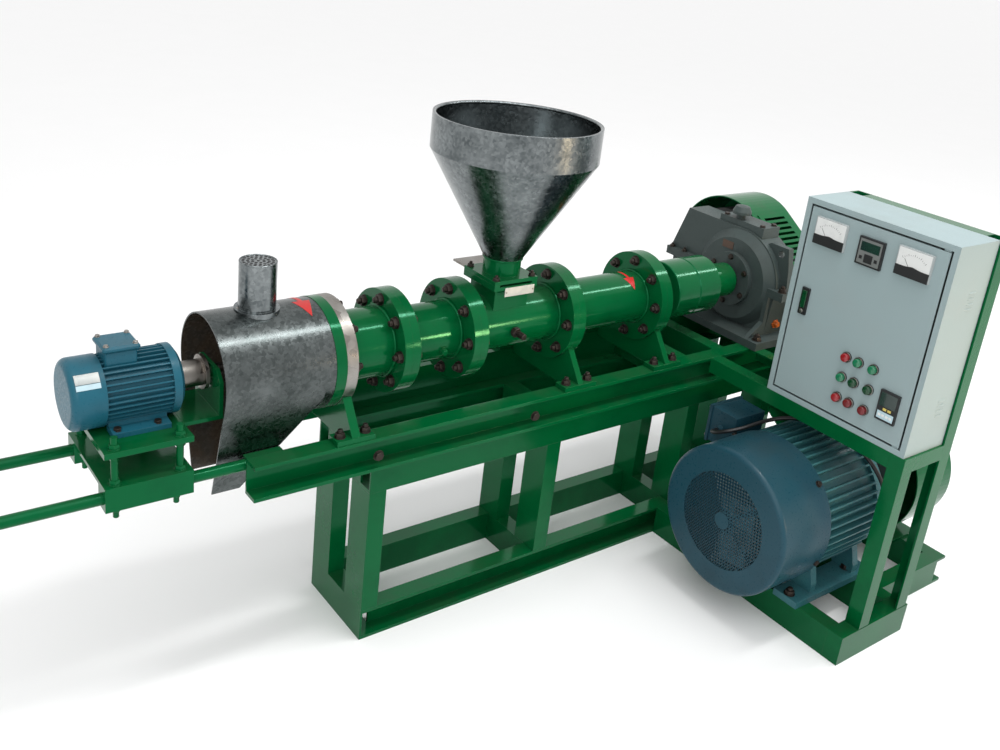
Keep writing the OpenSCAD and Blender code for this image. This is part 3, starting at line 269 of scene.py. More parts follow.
def spangle_group() -> None:
    """Zinc flowers: each Voronoi cell has its own value, beside a slow cloud."""
    tree, given, out = group("zinc_spangle", [("Cell Scale", 130.0), ("Cloud Scale", 7.0)], ["Cell", "Cloud"])
    spot = tree.place()
    warp = tree.add("ShaderNodeTexNoise", Scale=given.outputs[0], Detail=1.0)
    tree.feed(warp.inputs["Vector"], spot)
    bent = tree.vector("MULTIPLY_ADD", warp.outputs["Color"], (0.004, 0.004, 0.004), spot)
    cells = tree.add("ShaderNodeTexVoronoi", Scale=given.outputs[0])
    tree.feed(cells.inputs["Vector"], bent.outputs[0])
    shade = tree.add("ShaderNodeSeparateColor", Color=cells.outputs["Color"]).outputs[0]
    cloud = tree.span(tree.noise(spot, given.outputs[1], 4.0, 0.6), 0.32, 0.70)
    tree.feed(out.inputs[0], shade)
    tree.feed(out.inputs[1], cloud)


def lining_group() -> None:
    """Inner faces of a shell round a line along X: those whose normal looks toward the line.

    Inside is one where the normal times the way from the line to the point is negative; Crust is a noise.
    """
    tree, given, out = group("shell_lining", [("Axis Y", 0.0), ("Axis Z", 0.0)], ["Inside", "Crust"])
    spot = tree.place()
    along = tree.add("ShaderNodeSeparateXYZ", Vector=spot).outputs[0]
    line = tree.add("ShaderNodeCombineXYZ", X=along, Y=given.outputs[0], Z=given.outputs[1])
    away = tree.vector("SUBTRACT", spot, line.outputs[0])
    dot = tree.vector("DOT_PRODUCT", tree.normal(), away.outputs[0])
    tree.feed(out.inputs[0], tree.span(dot.outputs["Value"], -0.002, -0.010))
    tree.feed(out.inputs[1], tree.span(tree.noise(spot, 24.0, 5.0), 0.30, 0.60, 0.55, 1.0))


# Finishes


@dataclass(frozen=True)
class Paint:
    """An enamel or powder coat, with dust, stains and worn edges.

    Attributes:
        name: the material's name.
        base: main colour.
        deep: colour of the stains.
        worn: colour that shows at chipped edges.
        roughness: lowest and highest roughness.
        dust: share of dust on faces that look up.
        stain: share of the stains.
        wear: share of the worn edges.
        relief: height of the surface's texture, in metres.
        grain: scale of that texture.
        specular: strength of the mirror reflection; 0.5 is that of plain glass.
        glint: colour of the mirror reflection seen straight on.
    """

    name: str
    base: Tint
    deep: Tint
    worn: Tint = Tint.STEEL_DARK
    roughness: tuple[float, float] = (0.20, 0.42)
    dust: float = 0.06
    stain: float = 0.55
    wear: float = 0.30
    relief: float = 0.00012
    grain: float = 180.0
    specular: float = 0.22
    glint: Colour = (1.0, 1.0, 1.0)

    def material(self) -> bpy.types.Material:
        """Builds the finish's material."""
        made, tree, shader = new_material(self.name)
        grime = place_group(tree, "workshop_grime", Grain_Scale=self.grain)
        edges = place_group(tree, "worn_edges")
        stained = tree.blend(grime.outputs["Stain"], self.stain, self.base.value, self.deep.value)
        dusty = tree.blend(grime.outputs["Dust"], self.dust, stained, Tint.DUST.value)
        worn = tree.blend(edges.outputs["Edge"], self.wear, dusty, self.worn.value)
        tree.feed(shader.inputs["Base Color"], worn)
        rough = tree.span(grime.outputs["Grain"], *GRAIN_SPAN, *self.roughness)
        dulled = tree.math("MULTIPLY", grime.outputs["Dust"], 0.5 * self.dust)
        tree.feed(shader.inputs["Roughness"], tree.math("ADD", rough, dulled, True))
        shader.inputs["Specular IOR Level"].default_value = self.specular
        shader.inputs["Specular Tint"].default_value = (*self.glint, 1.0)
        tree.feed(shader.inputs["Normal"], relief_normal(tree, grime.outputs["Grain"], self.relief))
        return made


@dataclass(frozen=True)
class Metal:
    """Bare or zinc-coated metal.

    Attributes:
        name: the material's name.
        base: light colour.
        dark: colour of the tarnish or of the darker zinc flowers.
        roughness: lowest and highest roughness.
        cell: scale of the zinc flowers, or of the tarnish.
        relief: height of the surface's texture, in metres.
        flowers: share of the flowers in the colour, against the clouds.
        cloud: scale of the clouds.
        metallic: how metallic the surface is.
        lining: colour of the crust inside a shell, if there is one.
        axis: Y and Z of the line that the shell goes round, in metres.
    """

    name: str
    base: Tint
    dark: Tint
    roughness: tuple[float, float] = (0.22, 0.45)
    cell: float = 130.0
    relief: float = 0.00004
    flowers: float = 0.5
    cloud: float = 7.0
    metallic: float = 1.0
    lining: Tint | None = None
    axis: tuple[float, float] = (0.0, 0.0)

    def material(self) -> bpy.types.Material:
        """Builds the finish's material."""
        made, tree, shader = new_material(self.name)
        zinc = place_group(tree, "zinc_spangle", Cell_Scale=self.cell, Cloud_Scale=self.cloud)
        flowers = tree.math("MULTIPLY", zinc.outputs["Cell"], self.flowers)
        clouds = tree.math("MULTIPLY", zinc.outputs["Cloud"], 1.0 - self.flowers)
        mask = tree.math("ADD", flowers, clouds, True)
        colour = tree.mix(mask, self.dark.value, self.base.value)
        shader.inputs["Metallic"].default_value = self.metallic
        if self.lining:
            shell = place_group(tree, "shell_lining", Axis_Y=self.axis[0], Axis_Z=self.axis[1])
            crust = tree.math("MULTIPLY", shell.outputs["Inside"], shell.outputs["Crust"])
            colour = tree.mix(crust, colour, self.lining.value)
            tree.feed(shader.inputs["Metallic"], tree.span(crust, 0.0, 1.0, self.metallic, 0.0))
        tree.feed(shader.inputs["Base Color"], colour)
        tree.feed(shader.inputs["Roughness"], tree.span(zinc.outputs["Cell"], 0.0, 1.0, *self.roughness))
        tree.feed(shader.inputs["Normal"], relief_normal(tree, zinc.outputs["Cell"], self.relief))
        return made


@dataclass(frozen=True)
class Moulded:
    """Plastic, rubber or ink with a faint grain.

    Attributes:
        name: the material's name.
        base: main colour.
        dark: second colour of the faint clouds.
        roughness: lowest and highest roughness.
        coat: weight of the clear coat.
        stain: share of the clouds.
    """

    name: str
    base: Tint
    dark: Tint = Tint.BLACK
    roughness: tuple[float, float] = (0.30, 0.48)
    coat: float = 0.0
    stain: float = 0.25

    def material(self) -> bpy.types.Material:
        """Builds the finish's material."""
        made, tree, shader = new_material(self.name)
        grime = place_group(tree, "workshop_grime", Patch_Scale=40.0, Grain_Scale=420.0)
        colour = tree.blend(grime.outputs["Stain"], self.stain, self.base.value, self.dark.value)
        tree.feed(shader.inputs["Base Color"], colour)
        tree.feed(shader.inputs["Roughness"], tree.span(grime.outputs["Grain"], *GRAIN_SPAN, *self.roughness))
        shader.inputs["Coat Weight"].default_value = self.coat
        tree.feed(shader.inputs["Normal"], relief_normal(tree, grime.outputs["Grain"], 0.00002))
        return made


Finish = Paint | Metal | Moulded


def new_material(name: str) -> tuple[bpy.types.Material, Tree, bpy.types.Node]:
    """Starts a material with a Principled shader.

    Args:
        name: the material's name.

    Returns:
        The material, its tree and its shader node.
    """
    made = bpy.data.materials.new(name)
    made.use_nodes = True
    tree = Tree(made.node_tree)
    shader = tree.add("ShaderNodeBsdfPrincipled")
    out = tree.add("ShaderNodeOutputMaterial")
    tree.feed(out.inputs["Surface"], shader.outputs[0])
    return made, tree, shader


def place_group(tree: Tree, name: str, **values: float) -> bpy.types.Node:
    """Places a shared group in a material with its own values."""
    node = tree.tree.nodes.new("ShaderNodeGroup")
    node.node_tree = bpy.data.node_groups[name]
    for key, value in values.items():
        node.inputs[key.replace("_", " ")].default_value = value
    return node


def relief_normal(tree: Tree, height: bpy.types.NodeSocket, depth: float) -> bpy.types.NodeSocket:
    """Rounds sharp edges a little and adds a fine relief, and returns the normal."""
    rounded = tree.add("ShaderNodeBevel", samples=4, Radius=0.0012).outputs[0]
    bump = tree.add("ShaderNodeBump", Strength=0.5, Distance=depth, Height=height, Normal=rounded)
    return bump.outputs[0]


GREEN = Paint("machine_enamel", Tint.GREEN, Tint.GREEN_DEEP, roughness=(0.09, 0.17), wear=0.12, specular=0.3,
              glint=(0.25, 1.0, 0.62))
CAST = Paint("cast_paint", Tint.CAST, Tint.CAST_DEEP, roughness=(0.35, 0.6), relief=0.0004, grain=320.0)
MOTOR = Paint("motor_enamel", Tint.MOTOR, Tint.MOTOR_DEEP, roughness=(0.24, 0.42), wear=0.2)
# Painted light: the fins wear this lighter copy of the motor enamel in place of the light that falls on them
SUNLIT_FINS = Paint("fin_enamel_painted_sunlight", Tint.SUNLIT_FINS, Tint.MOTOR, roughness=(0.24, 0.42), wear=0.2)
CUTTER = Paint("cutter_enamel", Tint.CUTTER, Tint.CUTTER_DEEP, roughness=(0.24, 0.42), wear=0.2)
CABINET = Paint("cabinet_coat", Tint.CABINET, Tint.CABINET_DEEP, roughness=(0.32, 0.5), dust=0.1, stain=0.25,
                wear=0.15, relief=0.00008, grain=700.0)
ZINC = Metal("galvanized_sheet", Tint.ZINC, Tint.ZINC_DARK, (0.18, 0.28), 160.0, 0.00001, 0.45, cloud=15.0)
HOOD = Metal("hood_sheet", Tint.DULL_ZINC, Tint.DULL_ZINC_DARK, (0.22, 0.32), 160.0, 0.00001, 0.45,
             cloud=15.0, lining=Tint.CRUST, axis=BARREL_AXIS)
STEEL = Metal("bare_steel", Tint.STEEL, Tint.STEEL_DARK, roughness=(0.25, 0.42), cell=60.0, flowers=0.2)
BOLT = Metal("dark_bolts", Tint.BOLT, Tint.RUST, (0.35, 0.6), 220.0, flowers=0.6, metallic=0.75)
PLATE = Metal("plated_sheet", Tint.PLATE_ZINC, Tint.STEEL, roughness=(0.3, 0.5))
BELT = Moulded("belt_rubber", Tint.RUBBER, roughness=(0.6, 0.8))
SHEATH = Moulded("cable_sheath", Tint.BLACK, roughness=(0.32, 0.45))
BLACK = Moulded("black_plastic", Tint.BLACK)
SCALE_WHITE = Moulded("scale_white", Tint.WHITE, Tint.CABINET_DEEP, coat=0.4)
LENS_RED = Moulded("lens_red", Tint.LENS_RED, Tint.RED_DARK, (0.12, 0.22), coat=0.6)
LENS_GREEN = Moulded("lens_green", Tint.LENS_GREEN, Tint.GREEN_DEEP, (0.12, 0.22), coat=0.6)
DISPLAY = Moulded("display_window", Tint.DISPLAY, Tint.BLACK, (0.06, 0.12), coat=0.8)
ARROW = Moulded("arrow_red", Tint.RED, Tint.RED_DARK, (0.3, 0.5))
PLUG = Moulded("oil_plug", Tint.ORANGE, Tint.RED_DARK)
# Painted shade: black for the insides of holes and recesses, in place of the shade that falls there
PAINTED_SHADE = Moulded("painted_shade_inside", Tint.BLACK, roughness=(0.8, 0.95))
CAP_RED = Moulded("cap_red", Tint.RED_DARK, Tint.BLACK, (0.2, 0.3), coat=0.3)
CAP_GREEN = Moulded("cap_green", Tint.GREEN_DEEP, Tint.BLACK, (0.2, 0.3), coat=0.3)
GREY = Moulded("bezel_grey", Tint.BEZEL, Tint.CAST)
RIM = Moulded("meter_rim", Tint.RIM, Tint.BEZEL, (0.15, 0.25))
BRONZE = Metal("bronze_plate", Tint.BRONZE, Tint.RUST, (0.35, 0.5), 60.0, flowers=0.3, metallic=0.5)
AMBER = Moulded("lit_row", Tint.AMBER, Tint.ORANGE)
PALE_BLUE = Moulded("key_field", Tint.KEYS, Tint.CABINET_DEEP)
PALE = Metal("bare_plate", Tint.PLATE, Tint.CABINET_DEEP, (0.28, 0.42), 90.0, flowers=0.2, metallic=0.35)

NODE_FINISH: dict[str, Finish] = {
    "hood_shell": HOOD, "hood_vent": ZINC, "hopper": ZINC, "die_holder": STEEL, "die_plate": STEEL,
    "cutter_shaft": STEEL, "knives": STEEL, "extruder_screw": STEEL, "feed_gate": STEEL,
    "gearbox_lower": CAST, "gearbox_upper": CAST, "gearbox_cover": CAST, "drive_pulleys": CAST,
    "drive_belts": BELT, "motor_cable": SHEATH, "motor_cowl": MOTOR, "motor_body": SUNLIT_FINS,
    "motor_terminal_box": MOTOR, "cabinet_box": CABINET, "cabinet_door": CABINET, "cabinet_plate": PLATE,
    "panel_meters": RIM, "panel_controllers": BLACK, "door_lock": BLACK, "panel_buttons": BLACK,
    "cutter_motor": CUTTER, "cutter_cowl": CUTTER, "cutter_terminal_box": CUTTER,
}


class Shop:
    """Makes each finish once and hands it out."""

    made: dict[str, bpy.types.Material] = {}

    @classmethod
    def get(cls, finish: Finish) -> bpy.types.Material:
        """Returns the material of a finish."""
        if finish.name not in cls.made:
            cls.made[finish.name] = finish.material()
        return cls.made[finish.name]


# Shapes from arrays

# The corners of a box's six faces, with corner number 4 x + 2 y + z, and the axis that each face looks along
BOX_FACES = ([0, 1, 3, 2], [4, 6, 7, 5], [0, 4, 5, 1], [2, 3, 7, 6], [0, 2, 6, 4], [1, 5, 7, 3])
BOX_AXES = (0, 0, 1, 1, 2, 2)
# Directions in which small pieces stand out
LEFT, RIGHT, NEAR, FAR, UP, DOWN = (-1, 0, 0), (1, 0, 0), (0, -1, 0), (0, 1, 0), (0, 0, 1), (0, 0, -1)


@dataclass
class Shape:
    """Points and faces of a mesh under construction.

    Attributes:
        points: an array of points, one a row.
        faces: lists of point numbers.
    """

    points: np.ndarray
    faces: list[list[int]]

    def repeated(self, transforms: np.ndarray) -> "Shape":
        """Copies the shape once for each 4 x 4 matrix, all copies in one shape."""
        count, size = len(transforms), len(self.points)
        points = np.einsum("mij,nj->mni", transforms[:, :3, :3], self.points) + transforms[:, None, :3, 3]
        faces = [[i + k * size for i in f] for k in range(count) for f in self.faces]
        return Shape(points.reshape(-1, 3), faces)

    def stood(self, places: Sequence[Sequence[float]], direction: Sequence[float],
              spin: float = 0.0) -> "Shape":
        """Copies the shape to each place with its top along a direction, turned about it by some radians."""
        return self.repeated(facing(places, direction, spin))

    def moved(self, offset: Sequence[float]) -> "Shape":
        """Returns the shape moved by an offset."""
        return Shape(self.points + np.asarray(offset, float), self.faces)

    def scaled(self, factor: float) -> "Shape":
        """Returns the shape at another scale."""
        return Shape(self.points * factor, self.faces)


def joined(shapes: Iterable[Shape]) -> Shape:
    """Puts several shapes into one."""
    points, faces, start = [], [], 0
    for shape in shapes:
        points.append(shape.points)
        faces.extend([[i + start for i in f] for f in shape.faces])
        start += len(shape.points)
    return Shape(np.concatenate(points), faces)


def grid_faces(rows: int, columns: int, wrap: bool) -> list[list[int]]:
    """Numbers the quads of a grid of points, closed sideways where it wraps."""
    row = np.arange(rows - 1)[:, None] * columns
    column = np.arange(columns if wrap else columns - 1)[None, :]
    after = (column + 1) % columns
    quads = np.stack([row + column, row + after, row + columns + after, row + columns + column], -1)
    return quads.reshape(-1, 4).tolist()


def loop_faces(rows: int, columns: int) -> list[list[int]]:
    """Numbers the quads of a grid of points that is closed both ways."""
    row, column = np.arange(rows)[:, None] * columns, np.arange(columns)[None, :]
    after, beside = (row + columns) % (rows * columns), (column + 1) % columns
    return np.stack([row + column, after + column, after + beside, row + beside], -1).reshape(-1, 4).tolist()


def four_sided(corners: Sequence[Sequence[np.ndarray | float]], flip: bool = False) -> Shape:
    """A closed bar between four corner lines.

    Args:
        corners: X, Y and Z of each corner line, as arrays along the bar or as plain values.
        flip: turns the faces round.

    Returns:
        The closed shape.
    """
    lines = np.stack([np.stack(np.broadcast_arrays(*corner), -1) for corner in corners], 1)
    count = len(lines)
    faces = grid_faces(count, 4, True) + [[3, 2, 1, 0], [4 * count - 4 + i for i in range(4)]]
    return Shape(lines.reshape(-1, 3), [f[::-1] for f in faces] if flip else faces)


def slab(half: np.ndarray, y: np.ndarray, height: float) -> Shape:
    """A flat piece on Z = 0 with a half width at each Y."""
    return four_sided([(-half, y, 0.0), (half, y, 0.0), (half, y, height), (-half, y, height)], True)


def turned(profile: Sequence[tuple[float, float]], sides: int = 24) -> Shape:
    """Turns a profile round the Z axis and caps both ends.

    A point is (r cos a, r sin a, h), for each (r, h) of the profile and each angle a.

    Args:
        profile: radius and height pairs, from the foot to the top.
        sides: number of sides; six makes a hexagon.

    Returns:
        The closed shape.
    """
    r, h = np.asarray(profile, float).T
    angle = np.arange(sides) * 2 * math.pi / sides
    ring = np.stack([np.cos(angle), np.sin(angle), np.zeros(sides)], -1)
    points = r[:, None, None] * ring[None] + np.stack([0 * h, 0 * h, h], -1)[:, None, :]
    faces = grid_faces(len(r), sides, True)
    faces.append(list(range(sides))[::-1])
    faces.append(list(range((len(r) - 1) * sides, len(r) * sides)))
    return Shape(points.reshape(-1, 3), faces)


def torus(ring_r: float, tube_r: float, sides: int = 48, around: int = 8) -> Shape:
    """A ring bead about the Z axis.

    A point is ((R + r cos b) cos a, (R + r cos b) sin a, r sin b).

    Args:
        ring_r: radius of the ring.
        tube_r: radius of the bead.
        sides: points along the ring.
        around: points round the bead.

    Returns:
        The closed shape.
    """
    a = np.arange(sides)[:, None] * 2 * math.pi / sides
    b = np.arange(around)[None, :] * 2 * math.pi / around
    r = ring_r + tube_r * np.cos(b)
    points = np.stack([r * np.cos(a), r * np.sin(a), 0 * a + tube_r * np.sin(b)], -1)
    return Shape(points.reshape(-1, 3), loop_faces(sides, around))


def plate(low: Sequence[float], high: Sequence[float], ease: float = 0.0) -> Shape:
    """A box between two corners with its edges eased on all sides.

    Each of the eight corners is three points, each pulled in by the ease along two of the axes.

    Args:
        low: lowest corner.
        high: highest corner.
        ease: size of the chamfer.

    Returns:
        The closed shape.
    """
    low, high = np.asarray(low, float), np.asarray(high, float)
    signs = np.array([[x, y, z] for x in (0, 1) for y in (0, 1) for z in (0, 1)], float)
    corners = low + signs * (high - low)
    if not ease:
        return Shape(corners, list(BOX_FACES))
    points = corners[:, None, :] + ((1 - 2 * signs) * ease)[:, None, :] * (1 - np.eye(3))
    faces = [[3 * c + axis for c in f] for f, axis in zip(BOX_FACES, BOX_AXES)]
    for f, axis in zip(BOX_FACES, BOX_AXES):
        for a, b in zip(f, f[1:] + f[:1]):
            along = int(np.flatnonzero(signs[a] != signs[b])[0])
            other = 3 - along - axis
            if other > axis:
                faces.append([3 * b + axis, 3 * a + axis, 3 * a + other, 3 * b + other])
    for c in range(8):
        turn = [3 * c, 3 * c + 1, 3 * c + 2]
        faces.append(turn if signs[c].sum() % 2 else turn[::-1])
    return Shape(points.reshape(-1, 3), faces)


def wrapped(shape: Shape, radius: float) -> Shape:
    """Lays a shape on a drum round the barrel's axis.

    A flat point (x, s, h) goes to the angle s / radius from the top, toward the near side, at radius + h.

    Args:
        shape: the flat shape, with its thickness along Z.
        radius: the drum's radius.

    Returns:
        The bent shape.
    """
    x, s, h = shape.points.T
    angle, r = s / radius, radius + h
    points = np.stack([x, BARREL_AXIS[0] - r * np.sin(angle), BARREL_AXIS[1] + r * np.cos(angle)], -1)
    return Shape(points, shape.faces)


def arrow(length: float, width: float, height: float) -> Shape:
    """A flat arrow that points along +Y, thin along Z.

    The half width over the way t from 0 to 1 is a constant shaft up to t = 0.5, and from there a head that
    falls evenly from the full width to a point.

    Args:
        length: from tail to tip.
        width: over the head.
        height: thickness of the paint.

    Returns:
        The closed shape.
    """
    t = np.array([0.0, 0.1, 0.2, 0.3, 0.4, 0.499, 0.5, 0.6, 0.7, 0.8, 0.9, 1.0])
    half = np.where(t < 0.5, 0.24, 1.0 - 2 * (t - 0.5)) * width / 2 + 1e-5
    return slab(half, (t - 0.5) * length, height)


def wafer(length: float, width: float, height: float) -> Shape:
    """A thin sheet about the origin, cut into strips across Y so that it can be bent.

    Args:
        length: along X.
        width: along Y.
        height: thickness along Z.

    Returns:
        The closed shape.
    """
    y = np.linspace(-width / 2, width / 2, 9)
    return slab(np.full_like(y, length / 2), y, height)


def lattice(radius: float, inner: float, pitch: float, wire: float, height: float) -> Shape:
    """A round grille of crossing bars in the XY plane, standing on Z = 0.

    Bars lie every pitch along both ways; each ends on the rim circle, at half the chord sqrt(R^2 - s^2), and
    those that meet the hub circle are cut there.

    Args:
        radius: radius of the grille.
        inner: radius of the hub.
        pitch: distance between bars.
        wire: width of a bar.
        height: height of the bars.

    Returns:
        The bars as closed boxes.
    """
    s = np.arange(-math.floor(radius / pitch), math.floor(radius / pitch) + 1) * pitch
    s = s[np.abs(s) < radius - wire]
    half = np.sqrt(radius**2 - s**2)
    core = np.where(np.abs(s) < inner, np.sqrt(np.maximum(inner**2 - s**2, 0.0)), 0.0)
    runs = [(a, -h, -c) for a, h, c in zip(s, half, core)] + [(a, c, h) for a, h, c in zip(s, half, core)]
    flat = [plate((a - wire / 2, b, 0), (a + wire / 2, c, height)) for a, b, c in runs]
    crossed = [plate((b, a - wire / 2, 0), (c, a + wire / 2, height)) for a, b, c in runs]
    return joined(flat + crossed)


def facing(places: Sequence[Sequence[float]], direction: Sequence[float], spin: float = 0.0) -> np.ndarray:
    """Matrices that stand a Z-up shape at each place with its top along a direction.

    Args:
        places: points, one for each copy.
        direction: where the shape's top points.
        spin: turn about that direction, in radians.

    Returns:
        An array of 4 x 4 matrices.
    """
    turn = Vector(direction).to_track_quat("Z", "Y").to_matrix() @ Matrix.Rotation(spin, 3, "Z")
    made = np.tile(np.eye(4), (len(places), 1, 1))
    made[:, :3, :3] = np.array(turn)
    made[:, :3, 3] = np.asarray(places, float)
    return made


def circle_places(centre: Sequence[float], axis: int, radius: float, count: int,
                  phase: float = 0.0) -> np.ndarray:
    """Points spread evenly on a circle about one of the main axes."""
    angle = phase + np.arange(count) * 2 * math.pi / count
    points = np.zeros((count, 3))
    points[:, (axis + 1) % 3] = radius * np.cos(angle)
    points[:, (axis + 2) % 3] = radius * np.sin(angle)
    return points + np.asarray(centre, float)


def piece(name: str, shape: Shape, finish: Finish, body: Body = Body.MACHINE,
          smooth: float = 35.0) -> bpy.types.Object:
    """Puts a shape into the scene as a piece that rides on a body.

    Args:
        name: the piece's name.
        shape: its points and faces.
        finish: its finish.
        body: the body that it rides on.
        smooth: edges that bend by less than this many degrees are shaded smooth.

    Returns:
        The new object.
    """
    mesh = bpy.data.meshes.new(name)
    mesh.from_pydata(shape.points, [], shape.faces)
    mesh.update()
    mesh.shade_smooth()
    mesh.set_sharp_from_angle(angle=math.radians(smooth))
    mesh.materials.append(Shop.get(finish))
    made = bpy.data.objects.new(name, mesh)
    bpy.context.scene.collection.objects.link(made)
    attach(made, body.value)
    LOG.info("%s: %d points, %d faces", name, len(mesh.vertices), len(mesh.polygons))
    return made


# Hardware


@dataclass(frozen=True)
class Bolt:
    """A hexagon bolt seen from outside.

    Attributes:
        thread: thread diameter.
        across: width over the corners.
        head: height of the head.
        nut: height of the nut.
        tail: free thread past the nut.
    """

    thread: float
    across: float
    head: float
    nut: float
    tail: float

    def hexagon(self, height: float) -> Shape:
        """A hexagon with a chamfered top on a round washer."""
        r = self.across / 2
        washer = turned([(r * 1.18, 0.0), (r * 1.18, 0.12 * r)], 20)
        body = turned([(r, 0.12 * r), (r, height * 0.86), (r * 0.9, height)], 6)
        return joined([washer, body])

    def head_shape(self) -> Shape:
        """The bolt's head, standing on Z = 0."""
        return self.hexagon(self.head)

    def nut_shape(self) -> Shape:
        """The nut with the end of the thread, standing on Z = 0."""
        r = self.thread / 2
        rings = 2 * max(2, round(self.tail / (0.32 * self.thread)))
        wave = [(r * (1.0 if i % 2 else 0.88), self.nut + self.tail * i / rings) for i in range(rings + 1)]
        end = (r * 0.7, self.nut + self.tail + 0.1 * r)
        return joined([self.hexagon(self.nut), turned(wave + [end], 12)])


M14, M12, M8, M5, CLAMP = (Bolt(*(value * MM for value in sizes)) for sizes in (
    (14, 24, 9, 11, 7), (12, 21, 8, 11, 7), (8, 15, 6, 7, 5), (5, 9, 4, 4, 3), (12, 21, 8, 11, 14)))
# Thickness of painted marks, and how far they lie off the sheet
PAINT_HEIGHT, PAINT_LIFT = 0.4 * MM, 0.1 * MM
# Edges of beads and louvres that bend by less than this many degrees are shaded smooth
BEAD_SMOOTH = 60.0


def cad(node: str) -> tuple[np.ndarray, np.ndarray]:
    """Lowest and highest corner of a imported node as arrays."""
    low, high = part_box(node)
    return np.array(low), np.array(high)


@dataclass
class Barrel:
    """Bolts of the barrel flanges, the hood ring and the pedestals' feet.

    Attributes:
        pitch_r: radius of the bolt circles.
        count: bolts in each flange.
        flange: thickness of one flange.
        foot: thickness of the pedestals' foot plates.
        inset: from a bed channel's edge to the foot bolts.
    """

    pitch_r: float = 98 * MM
    count: int = 8
    flange: float = 20 * MM
    foot: float = 12 * MM
    inset: float = 21.5 * MM

    def build(self) -> None:
        """Adds all bolts of the barrel."""
        low, high = cad("barrel_middle")
        y, z = (low[1:] + high[1:]) / 2
        shapes = []
        for node in ("barrel_front", "barrel_middle", "feed_barrel", "bearing_housing"):
            joint = cad(node)[1][0]
            left = circle_places((joint - self.flange, y, z), 0, self.pitch_r, self.count)
            right = circle_places((joint + self.flange, y, z), 0, self.pitch_r, self.count)
            shapes += [M14.nut_shape().stood(left, LEFT), M14.head_shape().stood(right, RIGHT, 0.3)]
        rim = circle_places((cad("die_holder")[1][0], y, z), 0, self.pitch_r + 4 * MM, self.count)
        shapes.append(M14.nut_shape().stood(rim, RIGHT, 0.2))
        piece("barrel_bolts", joined(shapes), BOLT)
        self.feet()

    def feet(self) -> None:
        """Adds the foot bolts of die bracket and pedestals."""
        low, high = cad("bed_channels")
        middle, top = (low[1] + high[1]) / 2, high[2] + self.foot
        side = high[1] - self.inset - middle
        shapes = []
        reaches = {"die_bracket": 30 * MM, "feed_pedestal": 34 * MM, "bearing_pedestal": 34 * MM}
        for node, reach in reaches.items():
            x = sum(corner[0] for corner in cad(node)) / 2
            spots = [(x + dx, middle + dy, top) for dx in (-reach, reach) for dy in (-side, side)]
            shapes.append(M12.nut_shape().stood(spots, UP, 0.4))
        piece("pedestal_bolts", joined(shapes), BOLT)


@dataclass
class MotorCable:
    """The black cable from the motor's terminal box to the cabinet.

    Attributes:
        route: points of the cable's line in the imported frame, in metres.
        diameter: the cable's diameter.
        cut: length of the smooth curve as a share of the straight runs between its points.
    """

    route: tuple[Point, ...]
    diameter: float = 11 * MM
    cut: float = 0.985

    def build(self) -> None:
        curve = bpy.data.curves.new("motor_lead", "CURVE")
        curve.dimensions = "3D"
        curve.bevel_depth = self.diameter / 2
        curve.bevel_resolution = 5
        curve.use_fill_caps = True
        curve.resolution_u = 6
        spline = curve.splines.new("NURBS")
        spline.points.add(len(self.route) - 1)
        spline.points.foreach_set("co", np.c_[np.array(self.route), np.ones(len(self.route))].ravel())
        spline.order_u = 3
        spline.use_endpoint_u = True
        lead = bpy.data.objects.new("motor_lead", curve)
        curve.materials.append(Shop.get(SHEATH))
        bpy.context.scene.collection.objects.link(lead)
        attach(lead, Body.MACHINE.value)
        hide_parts("motor_cable")

    def length(self) -> float:
        """Length of the cable along its smooth curve."""
        return float(np.linalg.norm(np.diff(np.array(self.route), axis=0), axis=1).sum()) * self.cut


CABLE_ROUTE_MM = (
    (1006, -238, 380), (992, -238, 380), (970, -250, 388), (958, -276, 402), (968, -306, 418),
    (1000, -324, 428), (1042, -332, 436), (1080, -345, 446), (1108, -372, 458), (1128, -408, 468),
    (1146, -450, 471), (1160, -492, 466), (1174, -532, 453), (1187, -568, 431), (1198, -600, 402),
    (1208, -624, 368), (1214, -640, 332), (1214, -654, 296), (1203, -670, 268), (1182, -684, 255),
    (1161, -693, 266), (1149, -698, 294), (1144, -700, 340), (1143, -700, 400), (1143, -700, 470),
    (1143, -700, 539),
)


